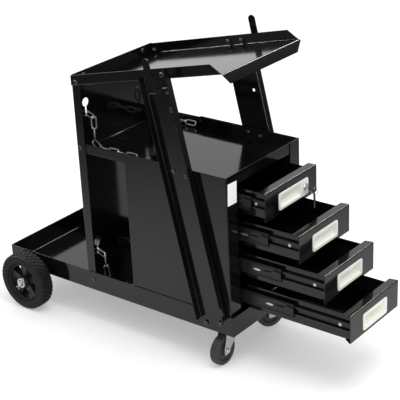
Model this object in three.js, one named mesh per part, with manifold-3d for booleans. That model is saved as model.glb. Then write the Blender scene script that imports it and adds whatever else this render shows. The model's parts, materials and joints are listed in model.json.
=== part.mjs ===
// Welding cart: a long low base tray on two fixed wheels and two casters, a four-drawer cabinet under a
// tray shelf, two leaning channel posts with cable hooks, a tilted top tray and a tank bay with two chains.
// Units are millimetres, +Z is up, the drawers open towards -Y and the origin is on the floor.
import * as THREE from "three";
import { mergeVertices } from "three/addons/utils/BufferGeometryUtils.js";
import Module from "manifold-3d";

const wasm = await Module();
wasm.setup();

// Driving dimensions: sheet metal
const sheet = 1.5;
const seat = 0.3; // gap left where one piece rests on another

// Base tray, with y distances in this file counted back from its front edge
const baseWidth = 299;
const baseLength = 731;
const baseUnder = 93;
const baseFlange = 52;

// Back panel and its keyholes for the tank chains
const backRear = 457;
const backAboveTray = 2;
const backFlange = 26;
const keyholeInset = 42.5; // in from the side of the base
const keyholeRadius = 11;
const keyholeDrop = 36;
const keyholeSlot = 6;
const lowerKeyhole = 209.5;
const upperKeyholeAboveShelf = 116;

// Shelf and drawer cabinet
const shelfLip = 25.5;
const shelfFrontLip = 28.5;
const shelfAboveDrawers = 7.5;
const cabinetInset = 8;
const cabinetDepth = 298;
const returnGap = 2.6; // between a drawer front and the front return beside it

// Drawers, top one first, with the share of its travel that each stands open
const drawerShare = [0.25, 0.55, 0.77, 0.99];
const drawerExtra = 10; // travel beyond the drawer's own length
const drawerRearGap = 8;
const drawerLowest = 147;
const drawerPitch = 80.5;
const drawerWidth = 210;
const drawerHeight = 70;
const drawerLip = 23;
const runnerSpace = 13; // beside the box, for its runner
const boxHeight = 62;
const boxLift = 2;

// Drawer pulls and the lock in the top one
const pullWidth = 104;
const pullHeight = 42;
const pullLift = 10;
const pullProud = 1.8;
const pullBorder = 6;
const pullCup = 14;
const lockPullExtra = 16;
const lockRadius = 7;
const lockPlugRadius = 5;
const lockLength = 16;

// Ball-bearing runners beside each drawer
const runnerLift = 36.5;
const runnerSheet = 1.2;
const runnerShort = 4; // rails are this much shorter than the drawer
const runnerFrontGap = 3;
const outerRail = 38;
const middleRail = 31;
const innerRail = 24;
const railFlange = 7;
const railStep = 3.6; // from one rail's web to the next
const ballPlay = 0.35; // running play of the ball cages between the rails
const cageWidth = 2;

// Leaning posts, their hooks and the tilted top tray
const lean = THREE.MathUtils.degToRad(12.8);
const postFootY = 54;
const postFootZ = 118;
const postWidth = 80;
const postFlange = 19;
const postFootCut = 12;
const postTongue = 11; // of the web below the post's foot, for its bolts
const postHole = 4;
const postHolePitch = 42.5;
const postHoleCount = 4;
const postHoleAcross = -21;
const trayFrontY = 4.4;
const trayFrontZ = 737.7;
const trayLip = 25.4;
const trayChamfer = 30;
const trayFlange = 25;
const trayFlangeSlant = 20;
const hookWidth = 19;
const hookSheet = 3;
const hookReach = 49;
const hookOuterLeg = 82;
const hookRootLeg = 43;
const hookBend = 5;

// Rear wheels and axle
const wheelRadius = 77;
const wheelWidth = 42;
const wheelBehindFront = 649;
const wheelGap = 11;
const rimRadius = 50;
const rimWall = 5;
const rimDisc = 5.5; // half the thickness of the spokes
const rimWindows = 5;
const windowSpread = 0.32;
const hubRadius = 16;
const beadInset = 6;
const treadGroove = 3;
const treadShoulder = 4;
const axleRadius = 6;
const axleShoulder = 8.5;
const axleOverhang = 9;
const lugInset = 21.5;
const lugSheet = 4;
const lugWidth = 44;

// Casters
const casterRadius = 38;
const casterWidth = 22;
const casterInset = 44.5;
const casterBehindFront = 50;
const casterTrail = 26;
const casterPlate = 2.5;
const casterPlateWidth = 60;
const casterPlateLength = 72;
const casterAxle = 4;
const casterTurn = { left: Math.PI / 2, right: 1.13 };

// Tank chains
const linkWire = 3.4;
const linkPitch = 30;
const linkWidth = 15;
const chainSag = 50;
const chainStandOff = 19;
const chainAhead = 8;
const chainDroop = 0.3;

// Places worked out from the driving dimensions
const drawerLength = cabinetDepth - drawerRearGap;
const drawerTravel = drawerLength + drawerExtra;
const drawerOpen = drawerShare.map((share) => share * drawerTravel);
const runnerLength = drawerLength - runnerShort;
const boxWidth = drawerWidth - 2 * runnerSpace;
const shelfUnder = drawerLowest + 3 * drawerPitch + drawerHeight + shelfAboveDrawers;
const cabinetTop = shelfUnder + shelfFrontLip;
const keyholeHeights = [lowerKeyhole, shelfUnder + upperKeyholeAboveShelf];
const frontY = (drawerOpen[3] - cabinetInset + pullProud - baseLength) / 2; // centres the open cart on Y
const y = (behindFront) => frontY + behindFront;
const half = baseWidth / 2;
const keyholeX = half - keyholeInset;
const lugX = half - lugInset;
const casterX = half - casterInset;
const baseFloor = baseUnder + sheet;
const baseTop = baseUnder + baseFlange;
const panelOuter = half - sheet - 0.4; // side panels and back flanges drop inside the base flange
const panelInner = panelOuter - sheet;
const shelfOuter = panelInner - seat;
const shelfFloor = shelfUnder + sheet;
const backFront = backRear - sheet;
const frontReturn = panelOuter - drawerWidth / 2 - returnGap;
const runnerWall = drawerWidth / 2 + returnGap - sheet; // face that the outer rails stand on
const drawerZ = (k) => drawerLowest + (3 - k) * drawerPitch;
const axleY = y(wheelBehindFront);
const wheelX = half + wheelGap + wheelWidth / 2;
const casterTop = baseUnder - seat;
// Distance along the post from its foot up to the underside of the top tray
const postToTray =
  (trayFrontY - postFootY) * Math.sin(lean) + (trayFrontZ - postFootZ) * Math.cos(lean);
const postLength = postToTray + trayLip - 3;
const hookLift = postLength - hookRootLeg - 1;
const topHole = postToTray + trayLip / 2 + 2;
const trayLength = (backFront - seat - trayFrontY) / Math.cos(lean) - sheet * Math.tan(lean);
const trayRearZ = trayFrontZ - trayLength * Math.sin(lean);
const backTop = trayRearZ + trayLip + backAboveTray;
const trayNarrow = (backRear - backFlange - seat - trayFrontY) / Math.cos(lean) - 1;

// Materials
function paint(color, roughness, metalness) {
  return new THREE.MeshStandardMaterial({ color, roughness, metalness });
}
const black = paint(0x121214, 0.22, 0.1);
const slide = paint(0x161617, 0.4, 0.2);
const zinc = paint(0xc6c9cc, 0.32, 0.9);
const rubber = paint(0x1b1b1c, 0.8, 0);
const plastic = paint(0x17181a, 0.5, 0);
const cream = paint(0xebe7d6, 0.38, 0);

// Solid modelling helpers
function solid(geometry) {
  const bare = new THREE.BufferGeometry();
  bare.setAttribute("position", geometry.getAttribute("position"));
  if (geometry.index) {
    bare.setIndex(geometry.index);
  }
  const merged = mergeVertices(bare, 1e-4);
  const triVerts = new Uint32Array(merged.index.array);
  const vertProperties = new Float32Array(merged.attributes.position.array);
  let made = new wasm.Manifold(new wasm.Mesh({ numProp: 3, vertProperties, triVerts }));
  if (made.volume() < 0) {
    for (let i = 0; i < triVerts.length; i += 3) {
      [triVerts[i + 1], triVerts[i + 2]] = [triVerts[i + 2], triVerts[i + 1]];
    }
    made = new wasm.Manifold(new wasm.Mesh({ numProp: 3, vertProperties, triVerts }));
  }
  return made;
}
function geometryOf(shape) {
  const mesh = shape.getMesh();
  const geometry = new THREE.BufferGeometry();
  const positions = new Float32Array(mesh.numVert * 3);
  for (let i = 0; i < mesh.numVert; i += 1) {
    for (let c = 0; c < 3; c += 1) {
      positions[3 * i + c] = mesh.vertProperties[mesh.numProp * i + c];
    }
  }
  geometry.setAttribute("position", new THREE.BufferAttribute(positions, 3));
  geometry.setIndex(new THREE.BufferAttribute(new Uint32Array(mesh.triVerts), 1));
  const flat = geometry.toNonIndexed();
  flat.computeVertexNormals();
  return flat;
}
const join = (shapes) => shapes.reduce((a, b) => a.add(b));
const cut = (body, tools) => tools.reduce((a, b) => a.subtract(b), body);
function box(x, yRange, z) {
  const geometry = new THREE.BoxGeometry(x[1] - x[0], yRange[1] - yRange[0], z[1] - z[0]);
  geometry.translate((x[0] + x[1]) / 2, (yRange[0] + yRange[1]) / 2, (z[0] + z[1]) / 2);
  return solid(geometry);
}
// A box given for the right-hand side, or its mirror image for the left
const sided = (side, x) => (side > 0 ? x : [-x[1], -x[0]]);
const axes = {
  x: new THREE.Matrix4().makeBasis(
    new THREE.Vector3(0, 1, 0),
    new THREE.Vector3(0, 0, 1),
    new THREE.Vector3(1, 0, 0),
  ),
  y: new THREE.Matrix4().makeBasis(
    new THREE.Vector3(0, 0, 1),
    new THREE.Vector3(1, 0, 0),
    new THREE.Vector3(0, 1, 0),
  ),
  z: new THREE.Matrix4(),
};
// A flat outline pushed along an axis: points are (y, z) for x, (z, x) for y and (x, y) for z
function prism(axis, points, from, to) {
  const shape = points instanceof THREE.Shape ? points : new THREE.Shape(points.map((p) => new THREE.Vector2(...p)));
  const geometry = new THREE.ExtrudeGeometry(shape, {
    depth: to - from,
    bevelEnabled: false,
    curveSegments: 4,
  });
  geometry.translate(0, 0, from);
  return solid(geometry.applyMatrix4(axes[axis]));
}
// A round bar along an axis through a point
function rod(axis, centre, radius, from, to, sides = 24) {
  const geometry = new THREE.CylinderGeometry(radius, radius, to - from, sides);
  geometry.rotateX(Math.PI / 2);
  geometry.translate(0, 0, (from + to) / 2);
  return solid(geometry.applyMatrix4(axes[axis])).translate(centre);
}
// A turned piece about the X axis, from a closed outline of (radius, x)
function turned(points, segments) {
  const outline = [...points, points[0]].map((p) => new THREE.Vector2(...p));
  return solid(new THREE.LatheGeometry(outline, segments).rotateZ(-Math.PI / 2));
}
function roundedRectangle(width, height, radius) {
  const shape = new THREE.Shape();
  const [w, h] = [width / 2, height / 2];
  shape.moveTo(-w + radius, -h);
  shape.lineTo(w - radius, -h);
  shape.absarc(w - radius, -h + radius, radius, -Math.PI / 2, 0);
  shape.lineTo(w, h - radius);
  shape.absarc(w - radius, h - radius, radius, 0, Math.PI / 2);
  shape.lineTo(-w + radius, h);
  shape.absarc(-w + radius, h - radius, radius, Math.PI / 2, Math.PI);
  shape.lineTo(-w, -h + radius);
  shape.absarc(-w + radius, -h + radius, radius, Math.PI, 1.5 * Math.PI);
  return shape;
}

const cart = new THREE.Group();
function add(parent, name, shape, material) {
  const mesh = new THREE.Mesh(geometryOf(shape), material);
  mesh.name = name;
  parent.add(mesh);
  return mesh;
}
function groupAt(parent, x, yPos, z) {
  const group = new THREE.Group();
  group.position.set(x, yPos, z);
  parent.add(group);
  return group;
}
const sides = [
  ["left", -1],
  ["right", 1],
];

// Base tray: a pan with its flanges turned up and two welded lugs that carry the axle
function baseTray() {
  const outside = box([-half, half], [y(0), y(baseLength)], [baseUnder, baseTop]);
  const inside = box(
    [-half + sheet, half - sheet],
    [y(sheet), y(baseLength - sheet)],
    [baseFloor, baseTop + 1],
  );
  const lugBottom = wheelRadius - axleShoulder - 8;
  const lugs = sides.map(([, side]) =>
    box(
      sided(side, [lugX, lugX + lugSheet]),
      [axleY - lugWidth / 2, axleY + lugWidth / 2],
      [lugBottom, baseUnder + sheet / 2],
    ),
  );
  const bore = rod("x", [0, axleY, wheelRadius], axleShoulder + seat, -half, half, 24);
  return cut(join([cut(outside, [inside]), ...lugs]), [bore]);
}
add(cart, "base_tray", baseTray(), black);

// Back panel: a tall pan whose side flanges point forward, with four keyholes for the chains
function backPanel() {
  const bottom = baseFloor + seat;
  const plate = box([-panelOuter, panelOuter], [y(backFront), y(backRear)], [bottom, backTop]);
  const flanges = sides.map(([, side]) =>
    box(sided(side, [panelInner, panelOuter]), [y(backRear - backFlange), y(backRear)], [bottom, backTop]),
  );
  const keyholes = keyholeHeights.flatMap((height) =>
    sides.flatMap(([, side]) => [
      rod("y", [side * keyholeX, 0, height], keyholeRadius, y(backFront - 2), y(backRear + 2), 24),
      box(
        [side * keyholeX - keyholeSlot / 2, side * keyholeX + keyholeSlot / 2],
        [y(backFront - 2), y(backRear + 2)],
        [height - keyholeDrop, height],
      ),
    ]),
  );
  return cut(join([plate, ...flanges]), keyholes);
}
add(cart, "back_panel", backPanel(), black);

// Shelf: a shallow tray over the drawers that runs back to the back panel
function shelfTray() {
  const front = cabinetInset + sheet + seat;
  const rear = backFront - seat;
  const floor = box([-shelfOuter, shelfOuter], [y(front), y(rear)], [shelfUnder, shelfFloor]);
  const lipTop = shelfUnder + shelfLip;
  const lips = sides.map(([, side]) =>
    box(sided(side, [shelfOuter - sheet, shelfOuter]), [y(front), y(rear)], [shelfUnder, lipTop]),
  );
  const frontLip = box([-shelfOuter, shelfOuter], [y(front), y(front + sheet)], [shelfUnder, cabinetTop]);
  const rearLip = box([-shelfOuter, shelfOuter], [y(rear - sheet), y(rear)], [shelfUnder, lipTop]);
  return join([floor, ...lips, frontLip, rearLip]);
}
add(cart, "shelf_tray", shelfTray(), black);

// Cabinet: side panels with a wide front return, a rear panel and the inner walls that hold the runners
const cabinetBottom = baseFloor + seat;
const cabinetRear = cabinetInset + cabinetDepth;
function sidePanel(side) {
  const z = [cabinetBottom, cabinetTop];
  const wall = box(sided(side, [panelInner, panelOuter]), [y(cabinetInset), y(cabinetRear)], z);
  const face = box(
    sided(side, [panelOuter - frontReturn, panelOuter]),
    [y(cabinetInset), y(cabinetInset + sheet)],
    z,
  );
  return join([wall, face]);
}
// A rail is a shallow channel: a web with a lip along its top and bottom edges, opening inwards or outwards
function rail(side, webX, lipX, height, yRange) {
  const web = box(sided(side, webX), yRange, [-height / 2, height / 2]);
  const reach = [Math.min(webX[0], lipX), Math.max(webX[1], lipX)];
  const lips = [-1, 1].map((end) => {
    const outer = (end * height) / 2;
    const inner = outer - end * runnerSheet;
    return box(sided(side, reach), yRange, [Math.min(outer, inner), Math.max(outer, inner)]);
  });
  return join([web, ...lips]);
}
const railStart = cabinetInset + runnerFrontGap;
const railSpan = [railStart, railStart + runnerLength];
const outerWeb = [runnerWall - runnerSheet, runnerWall + sheet / 2];
const middleWeb = [runnerWall - railStep, runnerWall - railStep + runnerSheet];
const innerWeb = [boxWidth / 2 + seat, boxWidth / 2 + seat + runnerSheet];
// The middle rail carries a ball cage along both faces of each lip, which runs on the rail outside or inside it
function middleRailShape(side) {
  const span = [0, runnerLength];
  const body = rail(side, middleWeb, middleWeb[1] - railFlange, middleRail, span);
  const outside = [middleRail / 2 - runnerSheet / 2, outerRail / 2 - runnerSheet - ballPlay];
  const inside = [innerRail / 2 + ballPlay, middleRail / 2 - runnerSheet / 2];
  const outsideX = [runnerWall - railFlange + 1, runnerWall - railFlange + 1 + cageWidth];
  const insideX = [middleWeb[1] - railFlange, middleWeb[1] - railFlange + cageWidth];
  const cages = [-1, 1].flatMap((end) =>
    [
      [outsideX, outside],
      [insideX, inside],
    ].map(([x, z]) => box(sided(side, x), span, end > 0 ? z : [-z[1], -z[0]])),
  );
  return join([body, ...cages]);
}
function runnerPanel(side) {
  const wall = box(
    sided(side, [runnerWall, runnerWall + sheet]),
    [y(cabinetInset + sheet + seat), y(cabinetRear - sheet - 2 * seat)],
    [cabinetBottom, shelfUnder - seat],
  );
  const span = railSpan.map(y);
  const rails = drawerOpen.map((_, k) =>
    rail(side, outerWeb, runnerWall - railFlange, outerRail, span).translate([0, 0, drawerZ(k) + runnerLift]),
  );
  return join([wall, ...rails]);
}
for (const [name, side] of sides) {
  add(cart, name + "_side_panel", sidePanel(side), black);
  add(cart, name + "_runner_panel", runnerPanel(side), black);
}
const cabinetRearPanel = box(
  [-panelInner + seat, panelInner - seat],
  [y(cabinetRear - sheet), y(cabinetRear)],
  [cabinetBottom, shelfUnder - seat],
);
add(cart, "cabinet_rear_panel", cabinetRearPanel, black);

// Drawers: each group stands at its drawer's front face, as far open as in the photograph
function drawerFront(opening) {
  const w = drawerWidth / 2;
  const depth = drawerLip - sheet - seat;
  const plate = box([-w, w], [0, sheet], [0, drawerHeight]);
  const top = box([-w, w], [0, depth], [drawerHeight - sheet, drawerHeight]);
  const bottom = box([-w, w], [0, depth], [0, sheet]);
  return cut(join([plate, top, bottom]), [opening]);
}
function drawerBox() {
  const w = boxWidth / 2;
  const front = drawerLip - sheet;
  const z = [boxLift, boxLift + boxHeight];
  const outside = box([-w, w], [front, drawerLength], z);
  const inside = box([-w + sheet, w - sheet], [front + sheet, drawerLength - sheet], [boxLift + sheet, z[1] + 1]);
  return cut(outside, [inside]);
}
// The pull is a moulded cup behind a thin border that stands proud of the drawer front
function pullShape(from, to, cupTo, lockX) {
  const middle = pullLift + pullHeight / 2;
  const centre = (from + to) / 2;
  const cupCentre = (from + cupTo) / 2;
  const cupWidth = cupTo - from - 2 * pullBorder;
  const cupHeight = pullHeight - 2 * pullBorder;
  const upright = (shape, front, back) =>
    prism("z", shape, -back, -front).rotate([90, 0, 0]);
  const border = upright(roundedRectangle(to - from, pullHeight, 4), -pullProud, -seat);
  const stem = upright(roundedRectangle(to - from - 4, pullHeight - 4, 3), -seat - 0.1, sheet + 1);
  const cup = upright(roundedRectangle(cupWidth + 3, cupHeight + 3, 4), 0, pullCup);
  const hollow = upright(roundedRectangle(cupWidth, cupHeight, 3), -pullProud - 1, pullCup - 1.5);
  const at = (shape, x) => shape.translate([x, 0, middle]);
  let body = join([at(border, centre), at(stem, centre), at(cup, cupCentre)]);
  body = cut(body, [at(hollow, cupCentre)]);
  if (lockX !== undefined) {
    const bore = rod("y", [lockX, 0, middle], lockRadius + seat, -pullProud - 1, pullCup, 24);
    body = cut(body, [bore]);
  }
  return body;
}
const pullOpening = (from, to) =>
  box([from + 2 - seat, to - 2 + seat], [-1, sheet + 1], [pullLift + 2 - seat, pullLift + pullHeight - 2 + seat]);
const lockX = pullWidth / 2 + lockPullExtra / 2 - 4;
const lockZ = pullLift + pullHeight / 2;
// Lock: a barrel through the pull, a plug that turns in it and the key lying flat in the plug
function lock(group) {
  const front = -pullProud - 2.2;
  const back = front + lockLength;
  const collar = rod("y", [lockX, 0, lockZ], lockRadius + 2, front, -pullProud - seat, 24);
  const sleeve = rod("y", [lockX, 0, lockZ], lockRadius, front, back, 24);
  const bore = rod("y", [lockX, 0, lockZ], lockPlugRadius + seat, front - 1, back + 1, 24);
  add(group, "lock_barrel", cut(join([collar, sleeve]), [bore]), zinc);
  const keyway = box([lockX - 4, lockX + 4], [front - 3, back - 3], [lockZ - 1.2, lockZ + 1.2]);
  const plug = rod("y", [lockX, 0, lockZ], lockPlugRadius, front - 0.6, back + 2, 24);
  const tail = box([lockX - 2, lockX + 2], [back + 1, back + 3], [lockZ - 16, lockZ + 4]);
  add(group, "lock_plug", join([cut(plug, [keyway]), tail]), zinc);
  const blade = box([lockX - 3.7, lockX + 3.7], [front - 8, back - 4], [lockZ - 0.9, lockZ + 0.9]);
  const head = rod("z", [lockX, front - 16, 0], 10.5, lockZ - 1.8, lockZ + 1.8, 24);
  const ringHole = rod("z", [lockX, front - 21.5, 0], 2.4, lockZ - 3, lockZ + 3, 12);
  add(group, "lock_key", cut(join([blade, head]), [ringHole]), plastic);
}
drawerOpen.forEach((open, k) => {
  const n = k + 1;
  const group = groupAt(cart, 0, y(cabinetInset - open), drawerZ(k));
  const from = -pullWidth / 2;
  const to = k === 0 ? pullWidth / 2 + lockPullExtra : pullWidth / 2;
  add(group, "drawer_" + n + "_box", drawerBox(), black);
  add(group, "drawer_" + n + "_front", drawerFront(pullOpening(from, to)), black);
  add(group, "drawer_" + n + "_pull", pullShape(from, to, k === 0 ? to - 2 * lockRadius - 12 : to, k === 0 ? lockX : undefined), cream);
  if (k === 0) {
    lock(group);
  }
  // The middle rails travel half as far as the drawer
  const middle = groupAt(cart, 0, y(railStart - open / 2), drawerZ(k) + runnerLift);
  for (const [name, side] of sides) {
    const inner = rail(side, innerWeb, innerWeb[0] + railFlange, innerRail, [runnerFrontGap, drawerLength - runnerShort / 2]);
    add(group, "drawer_" + n + "_" + name + "_inner_rail", inner.translate([0, 0, runnerLift]), slide);
    add(middle, "drawer_" + n + "_" + name + "_middle_rail", middleRailShape(side), slide);
  }
});

// Leaning posts and cable hooks, in a group that leans back with the post's foot at its origin
function post(side) {
  const w = postWidth / 2;
  const web = box(sided(side, [half, half + sheet]), [-w, w], [-postTongue, postLength]);
  const flangeTop = postToTray + trayLip / 2;
  const flanges = [-1, 1].map((end) => {
    const [a, b] = [end * w, end * (w - sheet)];
    const span = [Math.min(a, b), Math.max(a, b)];
    return box(sided(side, [half, half + postFlange]), span, [postFootCut, flangeTop]);
  });
  const holes = [];
  for (let i = 0; i < postHoleCount; i += 1) {
    const centre = [0, postHoleAcross, topHole - i * postHolePitch];
    holes.push(rod("x", centre, postHole, -half - postFlange, half + postFlange, 16));
  }
  return cut(join([web, ...flanges]), holes);
}
function hook(side) {
  const inner = half + sheet + seat;
  const outer = inner + hookReach;
  const round = hookWidth / 2;
  const [rootTop, outerTop] = [hookRootLeg - round, hookOuterLeg - round];
  const outline = new THREE.Shape();
  outline.moveTo(inner, rootTop);
  outline.lineTo(inner, hookBend);
  outline.absarc(inner + hookBend, hookBend, hookBend, Math.PI, 1.5 * Math.PI);
  outline.lineTo(outer - hookBend, 0);
  outline.absarc(outer - hookBend, hookBend, hookBend, -Math.PI / 2, 0);
  outline.lineTo(outer, outerTop);
  outline.lineTo(outer - hookSheet, outerTop);
  outline.lineTo(outer - hookSheet, hookBend);
  outline.absarc(outer - hookBend, hookBend, hookBend - hookSheet, 0, -Math.PI / 2, true);
  outline.lineTo(inner + hookBend, hookSheet);
  outline.absarc(inner + hookBend, hookBend, hookBend - hookSheet, 1.5 * Math.PI, Math.PI, true);
  outline.lineTo(inner + hookSheet, rootTop);
  const strip = prism("z", outline, -round, round).rotate([90, 0, 0]);
  const ends = [
    [inner, rootTop],
    [outer - hookSheet, outerTop],
  ].map(([x, height]) => rod("x", [0, 0, height], round, x, x + hookSheet, 24));
  const bolt = rod("x", [0, 0, topHole - hookLift], postHole, inner - 5, inner + hookSheet + 5, 16);
  const made = cut(join([strip, ...ends]), [bolt]);
  return (side > 0 ? made : made.mirror([1, 0, 0])).translate([0, postHoleAcross, hookLift]);
}
for (const [name, side] of sides) {
  const leaning = groupAt(cart, 0, y(postFootY), postFootZ);
  leaning.rotation.x = -lean;
  add(leaning, name + "_post", post(side), black);
  add(leaning, name + "_cable_hook", hook(side), black);
}

// Top tray: rises to the front, with side and rear lips turned up and the front flange turned down.
// Its side lips run on past the back panel's flanges, and its floor is notched to pass between them.
function topTray() {
  const w = half - seat;
  const narrow = panelInner - seat;
  const lipEnd = (backRear - trayFrontY) / Math.cos(lean);
  const floor = join([
    box([-w, w], [0, trayNarrow], [0, sheet]),
    box([-narrow, narrow], [trayNarrow - 1, trayLength], [0, sheet]),
  ]);
  const lips = sides.map(([, side]) =>
    prism(
      "x",
      [
        [0, 0],
        [lipEnd, 0],
        [lipEnd - trayLip * Math.tan(lean), trayLip],
        [trayChamfer, trayLip],
        [0, sheet],
      ],
      ...sided(side, [w - sheet, w]),
    ),
  );
  const rearTop = [trayLength - trayLip * Math.sin(lean), trayLip * Math.cos(lean)];
  const rearLip = prism(
    "x",
    [[trayLength - sheet, 0], [trayLength, 0], rearTop, [rearTop[0] - sheet, rearTop[1]]],
    -narrow,
    narrow,
  );
  const flange = prism(
    "z",
    [
      [-w, 0],
      [-w + trayFlangeSlant, -trayFlange],
      [w - trayFlangeSlant, -trayFlange],
      [w, 0],
      [w, sheet],
      [-w, sheet],
    ],
    -sheet,
    0,
  ).rotate([90, 0, 0]);
  return join([floor, ...lips, rearLip, flange]);
}
const tilted = groupAt(cart, 0, y(trayFrontY), trayFrontZ);
tilted.rotation.x = -lean;
add(tilted, "top_tray", topTray(), black);

// Rear axle, wheels and the washers with split pins that keep the wheels on
const axleEnd = wheelX + wheelWidth / 2 + axleOverhang;
const axle = join([
  rod("x", [0, 0, 0], axleRadius, -axleEnd, axleEnd, 24),
  rod("x", [0, 0, 0], axleShoulder, -(wheelX - wheelWidth / 2 - 0.6), wheelX - wheelWidth / 2 - 0.6, 24),
]);
const rear = groupAt(cart, 0, axleY, wheelRadius);
add(rear, "rear_axle", axle, zinc);
function tyre() {
  const w = wheelWidth / 2;
  const bead = rimRadius + seat;
  return turned(
    [
      [bead, -w + beadInset],
      [bead + treadShoulder, -w + 2],
      [wheelRadius - 3 * treadShoulder, -w],
      [wheelRadius - treadShoulder, -w + treadShoulder],
      [wheelRadius, -w + 3 * treadShoulder],
      [wheelRadius, -treadGroove - 1],
      [wheelRadius - treadGroove, -treadGroove],
      [wheelRadius - treadGroove, treadGroove],
      [wheelRadius, treadGroove + 1],
      [wheelRadius, w - 3 * treadShoulder],
      [wheelRadius - treadShoulder, w - treadShoulder],
      [wheelRadius - 3 * treadShoulder, w],
      [bead + treadShoulder, w - 2],
      [bead, w - beadInset],
    ],
    48,
  );
}
function rim() {
  const w = wheelWidth / 2;
  const bore = axleRadius + 0.1;
  const lip = w - beadInset - 1;
  const disc = turned(
    [
      [bore, -w],
      [hubRadius, -w],
      [hubRadius + 1, -rimDisc],
      [rimRadius - rimWall - 2, -rimDisc],
      [rimRadius - rimWall, -lip],
      [rimRadius, -lip],
      [rimRadius, lip],
      [rimRadius - rimWall, lip],
      [rimRadius - rimWall - 2, rimDisc],
      [hubRadius + 1, rimDisc],
      [hubRadius, w],
      [bore, w],
    ],
    36,
  );
  const windows = [];
  const [inner, outer] = [hubRadius + 6, rimRadius - rimWall - 3];
  for (let i = 0; i < rimWindows; i += 1) {
    const outline = new THREE.Shape();
    outline.moveTo(inner, -inner * windowSpread);
    outline.lineTo(outer, -outer * windowSpread);
    outline.lineTo(outer, outer * windowSpread);
    outline.lineTo(inner, inner * windowSpread);
    windows.push(prism("x", outline, -w, w).rotate([(i * 360) / rimWindows, 0, 0]));
  }
  return cut(disc, windows);
}
for (const [name, side] of sides) {
  const wheel = groupAt(rear, side * wheelX, 0, 0);
  add(wheel, name + "_tyre", tyre(), rubber);
  add(wheel, name + "_rim", rim(), plastic);
  const face = wheelWidth / 2 + 0.6;
  const bore = axleRadius + 0.15;
  const washer = turned([[bore, face], [13, face], [13, face + 2], [bore, face + 2]], 24);
  const pin = rod("z", [face + 3.4, 0, 0], 1.5, -15, 14, 8);
  const collar = turned([[bore, face + 1], [9, face + 1], [9, face + 6], [bore, face + 6]], 24);
  const clip = cut(join([washer, collar, pin]), [rod("x", [0, 0, 0], bore, 0, face + 20, 24)]);
  add(wheel, name + "_axle_clip", side > 0 ? clip : clip.mirror([1, 0, 0]), zinc);
}

// Casters: a fixed plate with its king pin, and a fork with the wheel trailing behind it
function casterPlateShape() {
  const top = casterTop;
  const plate = prism("z", roundedRectangle(casterPlateWidth, casterPlateLength, 6), top - casterPlate, top);
  const race = rod("z", [0, 0, 0], 21, top - casterPlate - 4, top - casterPlate / 2, 32);
  const pin = rod("z", [0, 0, 0], 5, top - casterPlate - 11.5, top - casterPlate / 2, 24);
  const head = rod("z", [0, 0, 0], 9, top - casterPlate - 11.5, top - casterPlate - 9, 24);
  return join([plate, race, pin, head]);
}
const forkTop = casterTop - casterPlate - 4 - seat;
const forkInner = casterWidth / 2 + 1.5;
function fork() {
  const crown = rod("z", [0, 0, 0], 22, forkTop - 4, forkTop, 32);
  const outline = [
    [-16, forkTop - 2],
    [18, forkTop - 2],
    [casterTrail + 9, casterRadius + 3],
    [casterTrail + 6, casterRadius - 8],
    [casterTrail - 6, casterRadius - 8],
    [casterTrail - 9, casterRadius + 3],
  ];
  const legs = [
    [-forkInner - 2, -forkInner],
    [forkInner, forkInner + 2],
  ].map((x) => prism("x", outline, ...x));
  const pin = rod("x", [0, casterTrail, casterRadius], casterAxle, -forkInner - 4, forkInner + 4, 16);
  const bore = rod("z", [0, 0, 0], 5 + seat, forkTop - 10, forkTop + 2, 24);
  return cut(join([crown, ...legs, pin]), [bore]);
}
function casterWheel() {
  const w = casterWidth / 2;
  const bore = casterAxle + 0.1;
  return turned(
    [
      [bore, -w],
      [12, -w],
      [13, -w + 3],
      [casterRadius - 11, -w + 3],
      [casterRadius - 8, -w],
      [casterRadius - 3, -w + 1],
      [casterRadius, -w + 5],
      [casterRadius, w - 5],
      [casterRadius - 3, w - 1],
      [casterRadius - 8, w],
      [casterRadius - 11, w - 3],
      [13, w - 3],
      [12, w],
      [bore, w],
    ],
    32,
  );
}
for (const [name, side] of sides) {
  const place = groupAt(cart, side * casterX, y(casterBehindFront), 0);
  add(place, name + "_caster_plate", casterPlateShape(), zinc);
  const swivel = groupAt(place, 0, 0, 0);
  swivel.rotation.z = casterTurn[name];
  add(swivel, name + "_caster_fork", fork(), zinc);
  const spin = groupAt(swivel, 0, casterTrail, casterRadius);
  add(spin, name + "_caster_wheel", casterWheel(), rubber);
}

// Tank chains: links in turn flat and on edge along a route, the crossing links standing in the keyholes
function link(length) {
  const straight = length - linkWidth;
  const r = (linkWidth - linkWire) / 2;
  const corners = [];
  for (let i = 0; i <= 4; i += 1) {
    const a = -Math.PI / 2 + (i * Math.PI) / 4;
    corners.push(new THREE.Vector3(straight / 2 + r * Math.cos(a), r * Math.sin(a), 0));
  }
  const loop = [...corners, ...corners.map((p) => new THREE.Vector3(-p.x, -p.y, 0))];
  const ring = [];
  const sidesOfWire = 5;
  loop.forEach((p, i) => {
    const before = loop[(i + loop.length - 1) % loop.length];
    const after = loop[(i + 1) % loop.length];
    const along = after.clone().sub(before).normalize();
    const out = new THREE.Vector3(along.y, -along.x, 0);
    for (let s = 0; s < sidesOfWire; s += 1) {
      const a = (2 * Math.PI * s) / sidesOfWire;
      const offset = out.clone().multiplyScalar((Math.cos(a) * linkWire) / 2);
      ring.push(p.clone().add(offset).add(new THREE.Vector3(0, 0, (Math.sin(a) * linkWire) / 2)));
    }
  });
  const index = [];
  for (let i = 0; i < loop.length; i += 1) {
    for (let s = 0; s < sidesOfWire; s += 1) {
      const j = (i + 1) % loop.length;
      const t = (s + 1) % sidesOfWire;
      const [a, b, c, d] = [i * sidesOfWire + s, j * sidesOfWire + s, j * sidesOfWire + t, i * sidesOfWire + t];
      index.push(a, b, c, a, c, d);
    }
  }
  const geometry = new THREE.BufferGeometry().setFromPoints(ring);
  geometry.setIndex(index);
  return geometry;
}
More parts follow.
